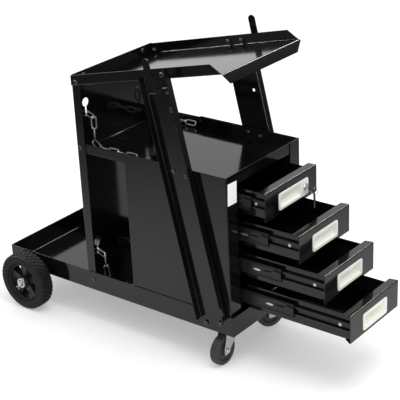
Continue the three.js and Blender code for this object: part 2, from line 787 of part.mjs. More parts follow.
// One run of links along points, starting half a pitch past its first point; wide is the first link's flat side
function chainRun(points, wide, first, odd = false) {
  const curve = new THREE.CatmullRomCurve3(points.map((p) => new THREE.Vector3(...p)), false, "centripetal");
  const length = curve.getLength();
  const links = Math.max(1, Math.round(length / linkPitch));
  const count = odd && links % 2 === 0 ? links + 1 : links;
  const pitch = length / count;
  const made = [];
  const across = new THREE.Vector3(...wide);
  for (let i = 0; i < count; i += 1) {
    const at = (i + 0.5) / count;
    const centre = curve.getPointAt(at);
    const along = curve.getTangentAt(at);
    across.addScaledVector(along, -across.dot(along)).normalize();
    const turn = ((first + i) % 2) * (Math.PI / 2);
    const side = across.clone().applyAxisAngle(along, turn);
    const matrix = new THREE.Matrix4().makeBasis(along, side, along.clone().cross(side));
    matrix.setPosition(centre);
    made.push(solid(link(pitch + 2 * linkWire - 0.4).applyMatrix4(matrix)));
  }
  return made;
}
// One link stands in the keyhole slot, more of it ahead of the panel than behind, drooping forwards
function chain(height, floor, tails, roll) {
  const slotZ = height - keyholeDrop + linkWidth / 2 + 0.9;
  const panel = y((backFront + backRear) / 2);
  const inside = panel - chainAhead - linkPitch / 2;
  const outside = panel - chainAhead + linkPitch / 2;
  const insideZ = slotZ - chainDroop * (panel - inside);
  const outsideZ = slotZ + chainDroop * (outside - panel);
  const lie = floor + linkWidth / 2 + 1.5;
  const parts = [];
  for (const [name, side] of sides) {
    const start = [side * keyholeX, inside, insideZ];
    parts.push(...chainRun([start, [side * keyholeX, outside, outsideZ]], [0, 0, 1], 0));
    const points = tails[name].map(([outwards, ahead, up]) => [
      side * (keyholeX + outwards),
      y(backFront - ahead),
      lie + up,
    ]);
    parts.push(...chainRun([start, ...points], [side * roll, -1, 0], 1));
  }
  const sag = [
    [-1, 0, 0],
    [-0.93, 0.8, 0.15],
    [-0.5, 1, 0.8],
    [0, 1, 1],
    [0.5, 1, 0.8],
    [0.93, 0.8, 0.15],
    [1, 0, 0],
  ].map(([across, behind, down]) => [
    across * keyholeX,
    outside + behind * chainStandOff,
    outsideZ - down * chainSag,
  ]);
  // An odd number of links, so that both ends lie flat in the standing links of the keyholes
  parts.push(...chainRun(sag, [0, 0, 1], 1, true));
  // Where links nest tightly they can close off a pinhole, which is filled
  return join(parts)
    .decompose()
    .find((body) => body.volume() > 0);
}
// Each tail's points are (outwards from the keyhole, ahead of the back panel, above the floor it lies on)
const shelfTails = {
  left: [[1, 23, 46], [3, 24, 23], [6, 30, 5], [9, 50, 0], [10, 80, 0], [10, 120, 0], [9, 160, 0]],
  right: [[4, 24, 48], [12, 27, 24], [19, 36, 7], [24, 60, 0], [26, 100, 0], [25, 143, 0]],
};
const baseTail = [[0, 23, 46], [-1, 24, 23], [-2, 30, 5], [-4, 50, 0], [-8, 80, 0], [-13, 112, 0]];
const baseTails = { left: baseTail, right: baseTail };
add(cart, "lower_chain", chain(keyholeHeights[0], baseFloor, baseTails, -1), zinc);
add(cart, "upper_chain", chain(keyholeHeights[1], shelfFloor, shelfTails, 1), zinc);

export default cart;
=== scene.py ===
import json
from math import cos, pi, radians, sin, tan

import bmesh
import bpy
from mathutils import Matrix, Quaternion, Vector

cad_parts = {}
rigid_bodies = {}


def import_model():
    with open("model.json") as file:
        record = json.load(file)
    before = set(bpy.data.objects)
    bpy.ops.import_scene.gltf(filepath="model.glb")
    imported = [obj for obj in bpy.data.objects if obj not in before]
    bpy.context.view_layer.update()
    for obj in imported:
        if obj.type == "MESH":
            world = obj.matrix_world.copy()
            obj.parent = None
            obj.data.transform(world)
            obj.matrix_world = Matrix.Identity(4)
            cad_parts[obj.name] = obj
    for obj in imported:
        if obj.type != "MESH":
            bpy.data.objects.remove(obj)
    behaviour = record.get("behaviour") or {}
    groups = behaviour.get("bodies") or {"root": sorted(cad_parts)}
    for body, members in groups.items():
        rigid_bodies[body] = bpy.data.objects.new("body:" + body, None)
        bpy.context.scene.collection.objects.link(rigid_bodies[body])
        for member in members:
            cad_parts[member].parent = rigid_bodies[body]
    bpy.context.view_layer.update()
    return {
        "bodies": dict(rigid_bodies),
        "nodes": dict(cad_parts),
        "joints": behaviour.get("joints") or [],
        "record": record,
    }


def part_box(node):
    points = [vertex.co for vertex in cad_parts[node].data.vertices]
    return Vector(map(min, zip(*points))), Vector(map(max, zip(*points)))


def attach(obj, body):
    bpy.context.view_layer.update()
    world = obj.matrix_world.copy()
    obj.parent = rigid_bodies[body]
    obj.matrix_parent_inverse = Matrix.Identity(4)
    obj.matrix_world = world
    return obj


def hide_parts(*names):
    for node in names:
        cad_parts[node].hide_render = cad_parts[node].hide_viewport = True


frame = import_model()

scene = bpy.context.scene
# Base tray: a pan of 1.5 mm steel sheet with its flanges folded up all round, coated in gloss black powder.
# Two round-ended plates are welded under its floor to carry the rear axle.
mm = 0.001
facing = {
    "-x": Vector((-1, 0, 0)),
    "+x": Vector((1, 0, 0)),
    "-y": Vector((0, -1, 0)),
    "+y": Vector((0, 1, 0)),
    "-z": Vector((0, 0, -1)),
    "+z": Vector((0, 0, 1)),
}


class Wire:
    """A shader socket: arithmetic on it adds Math nodes, and node() adds any other node."""

    def __init__(self, tree, socket):
        self.tree = tree
        self.socket = socket

    def node(self, kind, settings, sockets, out=0):
        made = self.tree.nodes.new(kind)
        for key, value in settings.items():
            if key == "stops":
                ramp = made.color_ramp
                for stop, (at, grey) in zip((ramp.elements[0], ramp.elements[1]), value):
                    stop.position = at
                    stop.color = (grey, grey, grey, 1)
            else:
                setattr(made, key, value)
        for key, value in sockets.items():
            if isinstance(value, Wire):
                self.tree.links.new(made.inputs[key], value.socket)
            else:
                made.inputs[key].default_value = value
        return Wire(self.tree, made.outputs[out])

    def maths(self, operation, first, second):
        return self.node("ShaderNodeMath", {"operation": operation}, {0: first, 1: second})

    def __add__(self, other):
        return self.maths("ADD", self, other)

    def __sub__(self, other):
        return self.maths("SUBTRACT", self, other)

    def __mul__(self, other):
        return self.maths("MULTIPLY", self, other)

    def __rsub__(self, other):
        return self.maths("SUBTRACT", other, self)

    __radd__ = __add__
    __rmul__ = __mul__

    def mottle(self, scale, detail=2.0, roughness=0.5):
        """Soft cloudy noise from 0 to 1, with this many clouds to the metre."""
        return self.node(
            "ShaderNodeTexNoise",
            {},
            {"Vector": self, "Scale": scale, "Detail": detail, "Roughness": roughness},
        )

    def sharpen(self, low, high):
        """Stretches the values from low to high over 0 to 1."""
        return self.node("ShaderNodeValToRGB", {"stops": ((low, 0.0), (high, 1.0))}, {0: self})

    def tint(self, dark, light):
        """A colour between two, by this value."""
        settings = {"data_type": "RGBA"}
        sockets = {0: self, 6: (*dark, 1), 7: (*light, 1)}
        return self.node("ShaderNodeMix", settings, sockets, out=2)

    def bumps(self, strength, height):
        """A surface normal raised by this value, height metres at most."""
        return self.node("ShaderNodeBump", {}, {"Height": self, "Strength": strength, "Distance": height})


def start_finish(name):
    """A new material, its shader and the wire of its object coordinates."""
    finish = bpy.data.materials.new(name)
    finish.use_nodes = True
    tree = finish.node_tree
    shader = tree.nodes["Principled BSDF"]
    place = Wire(tree, tree.nodes.new("ShaderNodeTexCoord").outputs["Object"])
    return finish, shader, place


def join_to(shader, **sockets):
    """Links wires to the shader's sockets, with spaces for underscores in their names."""
    for key, wire in sockets.items():
        wire.tree.links.new(shader.inputs[key.replace("_", " ")], wire.socket)


# Gloss powder coat: near black, with a faint orange peel and patches a little duller than the rest
powder_coat, shader, place = start_finish("gloss_black_powder_coat")
clouds = place.mottle(9, 3)
peel = place.mottle(420, 2)
specks = place.mottle(1900, 1).sharpen(0.66, 0.74)
join_to(
    shader,
    Base_Color=(clouds * 0.7 + specks * 0.3).tint((0.0022, 0.0022, 0.0027), (0.0052, 0.0052, 0.006)),
    Roughness=0.06 + clouds * 0.08 + specks * 0.1,
    Normal=(peel + specks * 0.15).bumps(0.03, 0.0004),
)


def only(piece):
    """Makes one piece the only selected one, and the active one."""
    bpy.ops.object.select_all(action="DESELECT")
    piece.select_set(True)
    bpy.context.view_layer.objects.active = piece


def block(name, low, high):
    """A box between two corners, with its place in its mesh."""
    bpy.ops.object.select_all(action="DESELECT")
    middle = [(a + b) / 2 for a, b in zip(low, high)]
    bpy.ops.mesh.primitive_cube_add(size=1, location=middle)
    piece = bpy.context.object
    piece.name = name
    piece.scale = [b - a for a, b in zip(low, high)]
    bpy.ops.object.transform_apply(location=True, rotation=True, scale=True)
    return piece


def pick(piece, kind, test):
    """In edit mode, selects the faces, edges or vertices that pass a test."""
    bpy.ops.mesh.select_mode(type=kind)
    bpy.ops.mesh.select_all(action="DESELECT")
    shape = bmesh.from_edit_mesh(piece.data)
    shape.normal_update()
    for part in {"FACE": shape.faces, "EDGE": shape.edges, "VERT": shape.verts}[kind]:
        if test(part):
            part.select_set(True)
    bmesh.update_edit_mesh(piece.data)


def apply(piece, kind, **settings):
    """Adds a modifier with these settings and applies it."""
    only(piece)
    modifier = piece.modifiers.new(kind.lower(), kind)
    for key, value in settings.items():
        setattr(modifier, key, value)
    bpy.ops.object.modifier_apply(modifier=modifier.name)


def break_edges(piece, width=0.5 * mm, segments=2):
    """Rounds every sharp edge a little and keeps the flat faces flat to the light."""
    apply(piece, "BEVEL", width=width, segments=segments, limit_method="ANGLE", angle_limit=radians(42))
    only(piece)
    bpy.ops.object.shade_smooth_by_angle(angle=radians(44))
    apply(piece, "WEIGHTED_NORMAL", keep_sharp=True)


def folded_sheet(name, low, high, kept, bend=3 * mm, sheet=1.5 * mm, shape=None):
    """Sheet metal: the kept sides of a box, folded with this bend and thickened inwards."""
    piece = block(name, low, high)
    walls = [facing[k] for k in kept.split()]
    bpy.ops.object.mode_set(mode="EDIT")
    pick(piece, "FACE", lambda face: all(face.normal.dot(wall) < 0.5 for wall in walls))
    bpy.ops.mesh.delete(type="FACE")
    if shape:
        shape(piece)
    pick(piece, "EDGE", lambda edge: edge.calc_face_angle(0) > 0.5)
    bpy.ops.mesh.bevel(offset=bend, offset_type="OFFSET", segments=4, affect="EDGES")
    bpy.ops.object.mode_set(mode="OBJECT")
    apply(piece, "SOLIDIFY", thickness=sheet, offset=-1, use_even_offset=True)
    return piece


def settle(piece, finish, slot, body, *nodes):
    """Gives a piece its finish and its body, and hides the solids that it stands for."""
    piece.data.materials.clear()
    piece.data.materials.append(finish)
    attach(piece, body)
    if nodes:
        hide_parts(*nodes)


def weld(pieces, name):
    """Joins pieces into the first one."""
    bpy.ops.object.select_all(action="DESELECT")
    for piece in pieces:
        piece.select_set(True)
    bpy.context.view_layer.objects.active = pieces[0]
    bpy.ops.object.join()
    pieces[0].name = name
    return pieces[0]


base_low, base_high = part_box("base_tray")
base_front, base_rear, half = base_low[1], base_high[1], base_high[0]
base_top = base_high[2]
base_under = base_top - 52 * mm
axle_low, axle_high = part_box("rear_axle")
axle_y, axle_z = (axle_low[1] + axle_high[1]) / 2, (axle_low[2] + axle_high[2]) / 2


def behind(distance):
    """The Y of a place this many millimetres behind the base tray's front edge."""
    return base_front + distance * mm


base = folded_sheet("base_pan", (-half, base_front, base_under), (half, base_rear, base_top), "-x +x -y +y -z")
lugs = []
for side in (-1, 1):
    inner = side * 128 * mm
    outer = side * 132 * mm
    lug = block(
        "axle_lug",
        (min(inner, outer), axle_y - 22 * mm, base_low[2]),
        (max(inner, outer), axle_y + 22 * mm, base_under + 0.5 * mm),
    )
    bpy.ops.object.mode_set(mode="EDIT")
    pick(lug, "EDGE", lambda edge: all(v.co.z < base_under - 5 * mm for v in edge.verts)
         and abs(edge.verts[0].co.x - edge.verts[1].co.x) > 1 * mm)
    bpy.ops.mesh.bevel(offset=15 * mm, segments=8, affect="EDGES")
    bpy.ops.object.mode_set(mode="OBJECT")
    lugs.append(lug)
base = weld([base, *lugs], "base_pan")
break_edges(base)

# A rippled bead of weld closes the cut corner where two flanges meet
bead_radius, bead_ripples = 1.5 * mm, 23
bpy.ops.object.select_all(action="DESELECT")
bpy.ops.mesh.primitive_cylinder_add(vertices=10, radius=bead_radius, depth=base_top - base_under - 3 * mm)
bead = bpy.context.object
bpy.ops.object.mode_set(mode="EDIT")
pick(bead, "EDGE", lambda edge: abs(edge.verts[0].co.z - edge.verts[1].co.z) > 1 * mm)
bpy.ops.mesh.subdivide(number_cuts=bead_ripples)
ripple = (base_top - base_under - 3 * mm) / (bead_ripples + 1)
pick(bead, "VERT", lambda v: round(v.co.z / ripple) % 2 == 1)
bpy.ops.transform.resize(value=(0.72, 0.72, 1))
bpy.ops.object.mode_set(mode="OBJECT")
only(bead)
bpy.ops.object.shade_smooth_by_angle(angle=radians(60))
beads = []
for x in (-half + 1.3 * mm, half - 1.3 * mm):
    for y in (base_front + 1.3 * mm, base_rear - 1.3 * mm):
        copy = bead.copy()
        copy.data = bead.data.copy()
        copy.data.transform(Matrix.Translation((x, y, (base_top + base_under) / 2)))
        scene.collection.objects.link(copy)
        beads.append(copy)
bpy.data.objects.remove(bead)
base = weld([base, *beads], "base_pan")
settle(base, powder_coat, "black_paint", "frame", "base_tray")

# Rear wheels: soft rubber tyres with a block tread, pushed on to moulded black plastic rims with five spokes.
# They run on a plain steel axle and are kept on by a washer and a split pin at each end.
tyre_rubber, shader, place = start_finish("tyre_rubber")
dust = place.mottle(34, 4, 0.6)
grain = place.mottle(900, 2)
join_to(
    shader,
    Base_Color=(dust.sharpen(0.35, 0.75) * 0.8 + grain * 0.2).tint((0.004, 0.004, 0.0043), (0.013, 0.013, 0.0135)),
    Roughness=0.5 + dust * 0.24,
    Normal=grain.bumps(0.35, 0.0004),
)
shader.inputs["Specular IOR Level"].default_value = 0.25
moulded_black, shader, place = start_finish("moulded_black_plastic")
grain = place.mottle(1300, 2)
flow = place.mottle(22, 3)
join_to(
    shader,
    Base_Color=(flow * 0.8 + grain * 0.2).tint((0.005, 0.005, 0.0053), (0.012, 0.012, 0.0125)),
    Roughness=0.36 + grain * 0.16,
    Normal=grain.bumps(0.2, 0.0002),
)
zinc_plate, shader, place = start_finish("bright_zinc_plate")
bloom = place.mottle(60, 4, 0.65)
brushed = place.mottle(1500, 2)
join_to(
    shader,
    Base_Color=(bloom.sharpen(0.3, 0.7) * 0.7 + brushed * 0.3).tint((0.55, 0.56, 0.58), (0.86, 0.86, 0.84)),
    Roughness=0.2 + bloom * 0.2 + brushed * 0.06,
    Normal=brushed.bumps(0.12, 0.0002),
)
shader.inputs["Metallic"].default_value = 1


def turned_ring(name, profile, steps=64):
    """A ring about the X axis, spun from a closed profile of (x, radius) points."""
    bpy.ops.object.select_all(action="DESELECT")
    bpy.ops.mesh.primitive_circle_add(vertices=len(profile), radius=1)
    piece = bpy.context.object
    piece.name = name
    for vertex, (x, radius) in zip(piece.data.vertices, profile):
        vertex.co = (x, 0, radius)
    bpy.ops.object.mode_set(mode="EDIT")
    bpy.ops.mesh.select_all(action="SELECT")
    bpy.ops.mesh.spin(steps=steps, angle=2 * pi, center=(0, 0, 0), axis=(1, 0, 0))
    bpy.ops.mesh.select_all(action="SELECT")
    bpy.ops.mesh.remove_doubles(threshold=0.01 * mm)
    bpy.ops.mesh.normals_make_consistent(inside=False)
    bpy.ops.object.mode_set(mode="OBJECT")
    return piece


def soft_section(half_width, inner, outer, count, squareness):
    """A rounded closed profile, from a circle at squareness 1 towards a rectangle at 0."""
    points = []
    for i in range(count):
        a = 2 * pi * i / count
        c, s = cos(a), sin(a)
        across = abs(c) ** squareness * (1 if c > 0 else -1)
        up = abs(s) ** squareness * (1 if s > 0 else -1)
        points.append((half_width * across, (inner + outer) / 2 + (outer - inner) / 2 * up))
    return points


def copy_of(piece, name, matrix):
    """A copy with its own mesh, moved by a matrix."""
    copy = piece.copy()
    copy.data = piece.data.copy()
    copy.name = name
    copy.data.transform(matrix)
    scene.collection.objects.link(copy)
    if matrix.determinant() < 0:
        copy.data.flip_normals()
        only(copy)
        bpy.ops.mesh.customdata_custom_splitnormals_clear()
        apply(copy, "WEIGHTED_NORMAL", keep_sharp=True)
    return copy


def round_bar(name, radius, x_from, x_to, sides=40, chamfer=0.8 * mm):
    """A round bar along X with chamfered ends."""
    bpy.ops.object.select_all(action="DESELECT")
    middle = (x_from + x_to) / 2
    bpy.ops.mesh.primitive_cylinder_add(
        vertices=sides, radius=radius, depth=x_to - x_from, location=(middle, 0, 0), rotation=(0, pi / 2, 0)
    )
    piece = bpy.context.object
    piece.name = name
    bpy.ops.object.transform_apply(location=True, rotation=True, scale=True)
    apply(piece, "BEVEL", width=chamfer, segments=2, limit_method="ANGLE", angle_limit=radians(60))
    only(piece)
    bpy.ops.object.shade_smooth_by_angle(angle=radians(35))
    return piece


wheel_low, wheel_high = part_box("right_tyre")
wheel_x = (wheel_low[0] + wheel_high[0]) / 2
wheel_half = (wheel_high[0] - wheel_low[0]) / 2
wheel_radius = (wheel_high[2] - wheel_low[2]) / 2
bead = 50.4 * mm
tread_depth = 2.8 * mm
blocks_round, tread_rows = 38, 4
row_pitch = 2 * (wheel_half - 3 * mm) / tread_rows

carcass = turned_ring("tyre", soft_section(wheel_half, bead, wheel_radius - tread_depth, 32, 0.36), 72)
ribs = [
    turned_ring("sidewall_rib", soft_section(wheel_half + lift, r - 1.1 * mm, r + 1.1 * mm, 10, 0.8), 72)
    for r, lift in ((54.5 * mm, 0.2 * mm), (66.5 * mm, -0.2 * mm))
]
tread = []
for row in range(tread_rows):
    place_x = (row - (tread_rows - 1) / 2) * row_pitch
    edge_row = row in (0, tread_rows - 1)
    slant = 0.1 if edge_row else 0.5 * (-1) ** row
    lug = block(
        "tread_block",
        (-0.42 * row_pitch, -4.6 * mm, wheel_radius - tread_depth - 2 * mm),
        (0.42 * row_pitch, 4.6 * mm, wheel_radius),
    )
    bpy.ops.object.mode_set(mode="EDIT")
    pick(lug, "FACE", lambda face: face.normal.z > 0.5)
    bpy.ops.transform.resize(value=(0.84, 0.74, 1))
    pick(lug, "EDGE", lambda edge: all(v.co.z > wheel_radius - 1 * mm for v in edge.verts))
    bpy.ops.mesh.bevel(offset=0.5 * mm, segments=1, affect="EDGES")
    bpy.ops.object.mode_set(mode="OBJECT")
    drop = 0.9 * mm if edge_row else 0
    lug.data.transform(Matrix.Translation((place_x, 0, -drop)) @ Matrix.Rotation(slant, 4, "Z"))
    step = 2 * pi / blocks_round
    for i in range(blocks_round):
        turn_by = Matrix.Rotation((i + 0.5 * (row % 2)) * step, 4, "X")
        tread.append(copy_of(lug, "tread_block", turn_by))
    bpy.data.objects.remove(lug)
tyre = weld([carcass, *ribs, *tread], "tyre")
only(tyre)
bpy.ops.object.shade_smooth_by_angle(angle=radians(38))

rim_lip = wheel_half - 5 * mm
rim_ring = turned_ring("rim_ring", soft_section(rim_lip, 45.5 * mm, 50 * mm, 20, 0.45), 64)
hub = turned_ring("rim_hub", soft_section(wheel_half, 6.2 * mm, 16 * mm, 20, 0.4), 48)
spoke = block("spoke", (-10 * mm, -6.5 * mm, 12 * mm), (8 * mm, 6.5 * mm, 47 * mm))
bpy.ops.object.mode_set(mode="EDIT")
pick(spoke, "FACE", lambda face: face.normal.z > 0.5)
bpy.ops.transform.resize(value=(1.2, 1.7, 1))
pick(spoke, "FACE", lambda face: abs(face.normal.x) > 0.7)
bpy.ops.mesh.inset(thickness=2.6 * mm, depth=-1.8 * mm, use_individual=True)
bpy.ops.object.mode_set(mode="OBJECT")
apply(spoke, "BEVEL", width=1 * mm, segments=2, limit_method="ANGLE", angle_limit=radians(30))
spokes = [copy_of(spoke, "spoke", Matrix.Rotation(2 * pi * i / 5, 4, "X")) for i in range(5)]
bpy.data.objects.remove(spoke)
rim = weld([rim_ring, hub, *spokes], "rim")
only(rim)
bpy.ops.object.shade_smooth_by_angle(angle=radians(35))

washer = turned_ring("axle_washer", soft_section(1 * mm, 8.2 * mm, 13 * mm, 12, 0.4), 40)
washer.data.transform(Matrix.Translation((wheel_half + 1.7 * mm, 0, 0)))
pin_x, pin_wire = wheel_half + 5 * mm, 1 * mm
eye = turned_ring("split_pin_eye", soft_section(pin_wire, 2.6 * mm, 4.8 * mm, 10, 1), 24)
eye.data.transform(Matrix.Translation((pin_x, 0, -17 * mm)))
legs = []
for bend in (-1, 1):
    leg = block("split_pin_leg", (-pin_wire, -pin_wire, -13 * mm), (pin_wire, pin_wire, 12 * mm))
    bpy.ops.object.mode_set(mode="EDIT")
    pick(leg, "FACE", lambda face: face.normal.z > 0.5)
    bpy.ops.mesh.extrude_region_move(TRANSFORM_OT_translate={"value": (0, bend * 4 * mm, 9 * mm)})
    bpy.ops.object.mode_set(mode="OBJECT")
    apply(leg, "BEVEL", width=0.5 * mm, segments=2, limit_method="ANGLE", angle_limit=radians(30))
    leg.data.transform(Matrix.Translation((pin_x, bend * 0.8 * mm, 0)))
    legs.append(leg)
retainer = weld([washer, eye, *legs], "axle_retainer")
retainer.data.transform(Matrix.Rotation(radians(215), 4, "X"))
only(retainer)
bpy.ops.object.shade_smooth_by_angle(angle=radians(35))

for side, name in ((-1, "left"), (1, "right")):
    there = Matrix.Translation((side * wheel_x, axle_y, axle_z)) @ Matrix.Scale(side, 4, (1, 0, 0))
    settle(copy_of(tyre, name + "_wheel_tyre", there), tyre_rubber, "tyre", name + "_wheel", name + "_tyre")
    settle(copy_of(rim, name + "_wheel_rim", there), moulded_black, "black_plastic", name + "_wheel", name + "_rim")
    settle(copy_of(retainer, name + "_wheel_retainer", there), zinc_plate, "zinc", "frame", name + "_axle_clip")
for done in (tyre, rim, retainer):
    bpy.data.objects.remove(done)
axle = weld(
    [
        round_bar("axle_bar", 6 * mm, axle_low[0], axle_high[0]),
        round_bar("axle_sleeve", 8.5 * mm, -wheel_x + wheel_half + 0.6 * mm, wheel_x - wheel_half - 0.6 * mm),
    ],
    "axle_bar",
)
axle.data.transform(Matrix.Translation((0, axle_y, axle_z)))
settle(axle, zinc_plate, "zinc", "frame", "rear_axle")

# Casters: pressed zinc-plated forks under a bolted top plate, with solid black rubber wheels.
# They stand as the cart was last pushed, both swung round towards its left side.
caster_rubber, shader, place = start_finish("caster_rubber")
scuff = place.mottle(70, 4, 0.6)
grain = place.mottle(1100, 2)
join_to(
    shader,
    Base_Color=scuff.sharpen(0.3, 0.75).tint((0.013, 0.013, 0.0135), (0.034, 0.034, 0.035)),
    Roughness=0.42 + scuff * 0.25,
    Normal=grain.bumps(0.2, 0.0003),
)


def cut_plate(name, outline, x_from, x_to, corner):
    """A plate across X with this outline of (y, z) points, its corners rounded."""
    bpy.ops.object.select_all(action="DESELECT")
    bpy.ops.mesh.primitive_circle_add(vertices=len(outline), radius=1, fill_type="NGON")
    piece = bpy.context.object
    piece.name = name
    for vertex, (y, z) in zip(piece.data.vertices, outline):
        vertex.co = (x_from, y, z)
    bpy.ops.object.mode_set(mode="EDIT")
    bpy.ops.mesh.select_all(action="SELECT")
    if corner:
        bpy.ops.mesh.bevel(offset=corner, segments=5, affect="VERTICES")
        bpy.ops.mesh.select_all(action="SELECT")
    bpy.ops.mesh.extrude_region_move(TRANSFORM_OT_translate={"value": (x_to - x_from, 0, 0)})
    bpy.ops.mesh.select_all(action="SELECT")
    bpy.ops.mesh.normals_make_consistent(inside=False)
    bpy.ops.object.mode_set(mode="OBJECT")
    return piece


def hex_head(name, radius, height, corner=0.5 * mm):
    """A hexagon bolt head standing on z 0."""
    bpy.ops.object.select_all(action="DESELECT")
    bpy.ops.mesh.primitive_cylinder_add(vertices=6, radius=radius, depth=height, location=(0, 0, height / 2))
    piece = bpy.context.object
    piece.name = name
    bpy.ops.object.transform_apply(location=True, rotation=True, scale=True)
    bpy.ops.object.mode_set(mode="EDIT")
    pick(piece, "FACE", lambda face: face.normal.z > 0.5)
    bpy.ops.mesh.inset(thickness=0.18 * radius, depth=0.12 * radius)
    bpy.ops.object.mode_set(mode="OBJECT")
    apply(piece, "BEVEL", width=corner, segments=2, limit_method="ANGLE", angle_limit=radians(25))
    return piece


wheel_r, wheel_w = 38 * mm, 11 * mm
trail = 26 * mm
leg_x = wheel_w + 1.5 * mm
crown_top = base_under - 7.1 * mm

caster_tyre = turned_ring("caster_tyre", soft_section(wheel_w, 25 * mm, wheel_r, 24, 0.55), 64)
caster_core = turned_ring("caster_core", soft_section(wheel_w - 2.5 * mm, 11 * mm, 26 * mm, 16, 0.35), 64)
caster_hub = turned_ring("caster_hub", soft_section(wheel_w, 4.2 * mm, 12 * mm, 16, 0.4), 40)
caster_wheel = weld([caster_tyre, caster_core, caster_hub], "caster_wheel")
only(caster_wheel)
bpy.ops.object.shade_smooth_by_angle(angle=radians(38))

crown = turned_ring("fork_crown", soft_section(2.2 * mm, 5.5 * mm, 22 * mm, 20, 0.35), 48)
crown.data.transform(Matrix.Rotation(-pi / 2, 4, "Y"))
crown.data.transform(Matrix.Translation((0, 0, crown_top - 2.2 * mm)))
outline = [
    (-21 * mm, crown_top - 0.6 * mm),
    (22 * mm, crown_top - 0.6 * mm),
    (trail + 9.5 * mm, wheel_r + 5 * mm),
    (trail + 9 * mm, wheel_r - 10 * mm),
    (trail - 9 * mm, wheel_r - 10 * mm),
    (trail - 16 * mm, wheel_r + 3 * mm),
    (-20 * mm, crown_top - 17 * mm),
]
fork_legs = []
for side in (-1, 1):
    leg = cut_plate("fork_leg", outline, side * leg_x, side * (leg_x + 2 * mm), 4 * mm)
    fork_legs.append(leg)
bridge = block("fork_bridge", (-leg_x - 1 * mm, -15 * mm, crown_top - 3.6 * mm), (leg_x + 1 * mm, 15 * mm, crown_top - 0.8 * mm))
axle_bolt = round_bar("caster_axle", 4 * mm, -leg_x - 4.6 * mm, leg_x + 4.6 * mm, 24, 0.5 * mm)
nuts = []
for side in (-1, 1):
    nut = hex_head("caster_nut", 7 * mm, 4 * mm)
    nut.data.transform(Matrix.Translation((side * (leg_x + 2 * mm), 0, 0)) @ Matrix.Rotation(side * pi / 2, 4, "Y"))
    nuts.append(nut)
for part in (axle_bolt, *nuts):
    part.data.transform(Matrix.Translation((0, trail, wheel_r)))
fork = weld([crown, *fork_legs, bridge, axle_bolt, *nuts], "caster_fork")
break_edges(fork, 0.35 * mm)

plate_top = base_under - 0.3 * mm
top_plate = block("caster_plate", (-30 * mm, -36 * mm, plate_top - 2.5 * mm), (30 * mm, 36 * mm, plate_top))
bpy.ops.object.mode_set(mode="EDIT")
pick(top_plate, "EDGE", lambda edge: abs(edge.verts[0].co.z - edge.verts[1].co.z) > 1 * mm)
bpy.ops.mesh.bevel(offset=6 * mm, segments=5, affect="EDGES")
bpy.ops.object.mode_set(mode="OBJECT")
race = turned_ring("caster_race", soft_section(2.3 * mm, 5.5 * mm, 21 * mm, 16, 0.5), 48)
race.data.transform(Matrix.Rotation(-pi / 2, 4, "Y"))
race.data.transform(Matrix.Translation((0, 0, plate_top - 4.5 * mm)))
king_pin = hex_head("king_pin", 9 * mm, 3 * mm)
king_pin.data.transform(Matrix.Translation((0, 0, plate_top - 11 * mm)) @ Matrix.Rotation(pi, 4, "X"))
plate_bolts = []
for x in (-23, 23):
    for y in (-29, 29):
        bolt = hex_head("plate_bolt", 5.6 * mm, 3.6 * mm)
        bolt.data.transform(Matrix.Translation((x * mm, y * mm, plate_top - 2.5 * mm)) @ Matrix.Rotation(pi, 4, "X"))
        plate_bolts.append(bolt)
mounting = weld([top_plate, race, king_pin, *plate_bolts], "caster_mounting")
break_edges(mounting, 0.3 * mm)

for name, swing in (("left", pi / 2), ("right", 1.13)):
    low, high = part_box(name + "_caster_plate")
    pivot = Matrix.Translation(((low[0] + high[0]) / 2, (low[1] + high[1]) / 2, 0))
    swung = pivot @ Matrix.Rotation(swing, 4, "Z")
    rolling = swung @ Matrix.Translation((0, trail, wheel_r))
    settle(copy_of(mounting, name + "_caster_top", pivot), zinc_plate, "zinc", "frame", name + "_caster_plate")
    settle(copy_of(fork, name + "_caster_yoke", swung), zinc_plate, "zinc", name + "_caster", name + "_caster_fork")
    settle(
        copy_of(caster_wheel, name + "_caster_roller", rolling),
        caster_rubber,
        "caster_rubber",
        name + "_caster_roll",
        name + "_caster_wheel",
    )
for done in (mounting, fork, caster_wheel):
    bpy.data.objects.remove(done)

# Back panel: a tall pan of the same sheet, its sides folded forward and bolted inside the base tray.
# Four punched keyholes take the chains that hold the gas bottles.
def carve(piece, cutter):
    """Cuts a piece with another, which is used up."""
    apply(piece, "BOOLEAN", object=cutter, operation="DIFFERENCE", solver="EXACT")
    bpy.data.objects.remove(cutter)


def arc(centre, radius, start, end, steps):
    """Points round part of a circle, both ends included."""
    angles = [start + (end - start) * i / steps for i in range(steps + 1)]
    return [(centre[0] + radius * cos(a), centre[1] + radius * sin(a)) for a in angles]


keyhole_x, keyhole_radius, keyhole_slot, keyhole_drop = 107 * mm, 11 * mm, 3 * mm, 36 * mm
keyhole_heights = (209.5 * mm, 582 * mm)
back_low, back_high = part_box("back_panel")
back_front = back_high[1] - 1.5 * mm
back = folded_sheet("back_sheet", back_low, back_high, "+y -x +x")
meet = keyhole_slot / keyhole_radius
keyhole_outline = arc((0, 0), keyhole_radius, -pi / 2 + meet, 1.5 * pi - meet, 28)
keyhole_outline += arc((0, keyhole_slot - keyhole_drop), keyhole_slot, pi, 2 * pi, 8)
for height in keyhole_heights:
    for side in (-1, 1):
        punch = cut_plate("keyhole_punch", keyhole_outline, back_front - 5 * mm, back_high[1] + 5 * mm, 0)
        hole_at = Matrix.Translation((side * keyhole_x, 0, height))
        punch.data.transform(hole_at @ Matrix.Rotation(pi / 2, 4, "Z"))
        carve(back, punch)
break_edges(back)
settle(back, powder_coat, "black_paint", "frame", "back_panel")

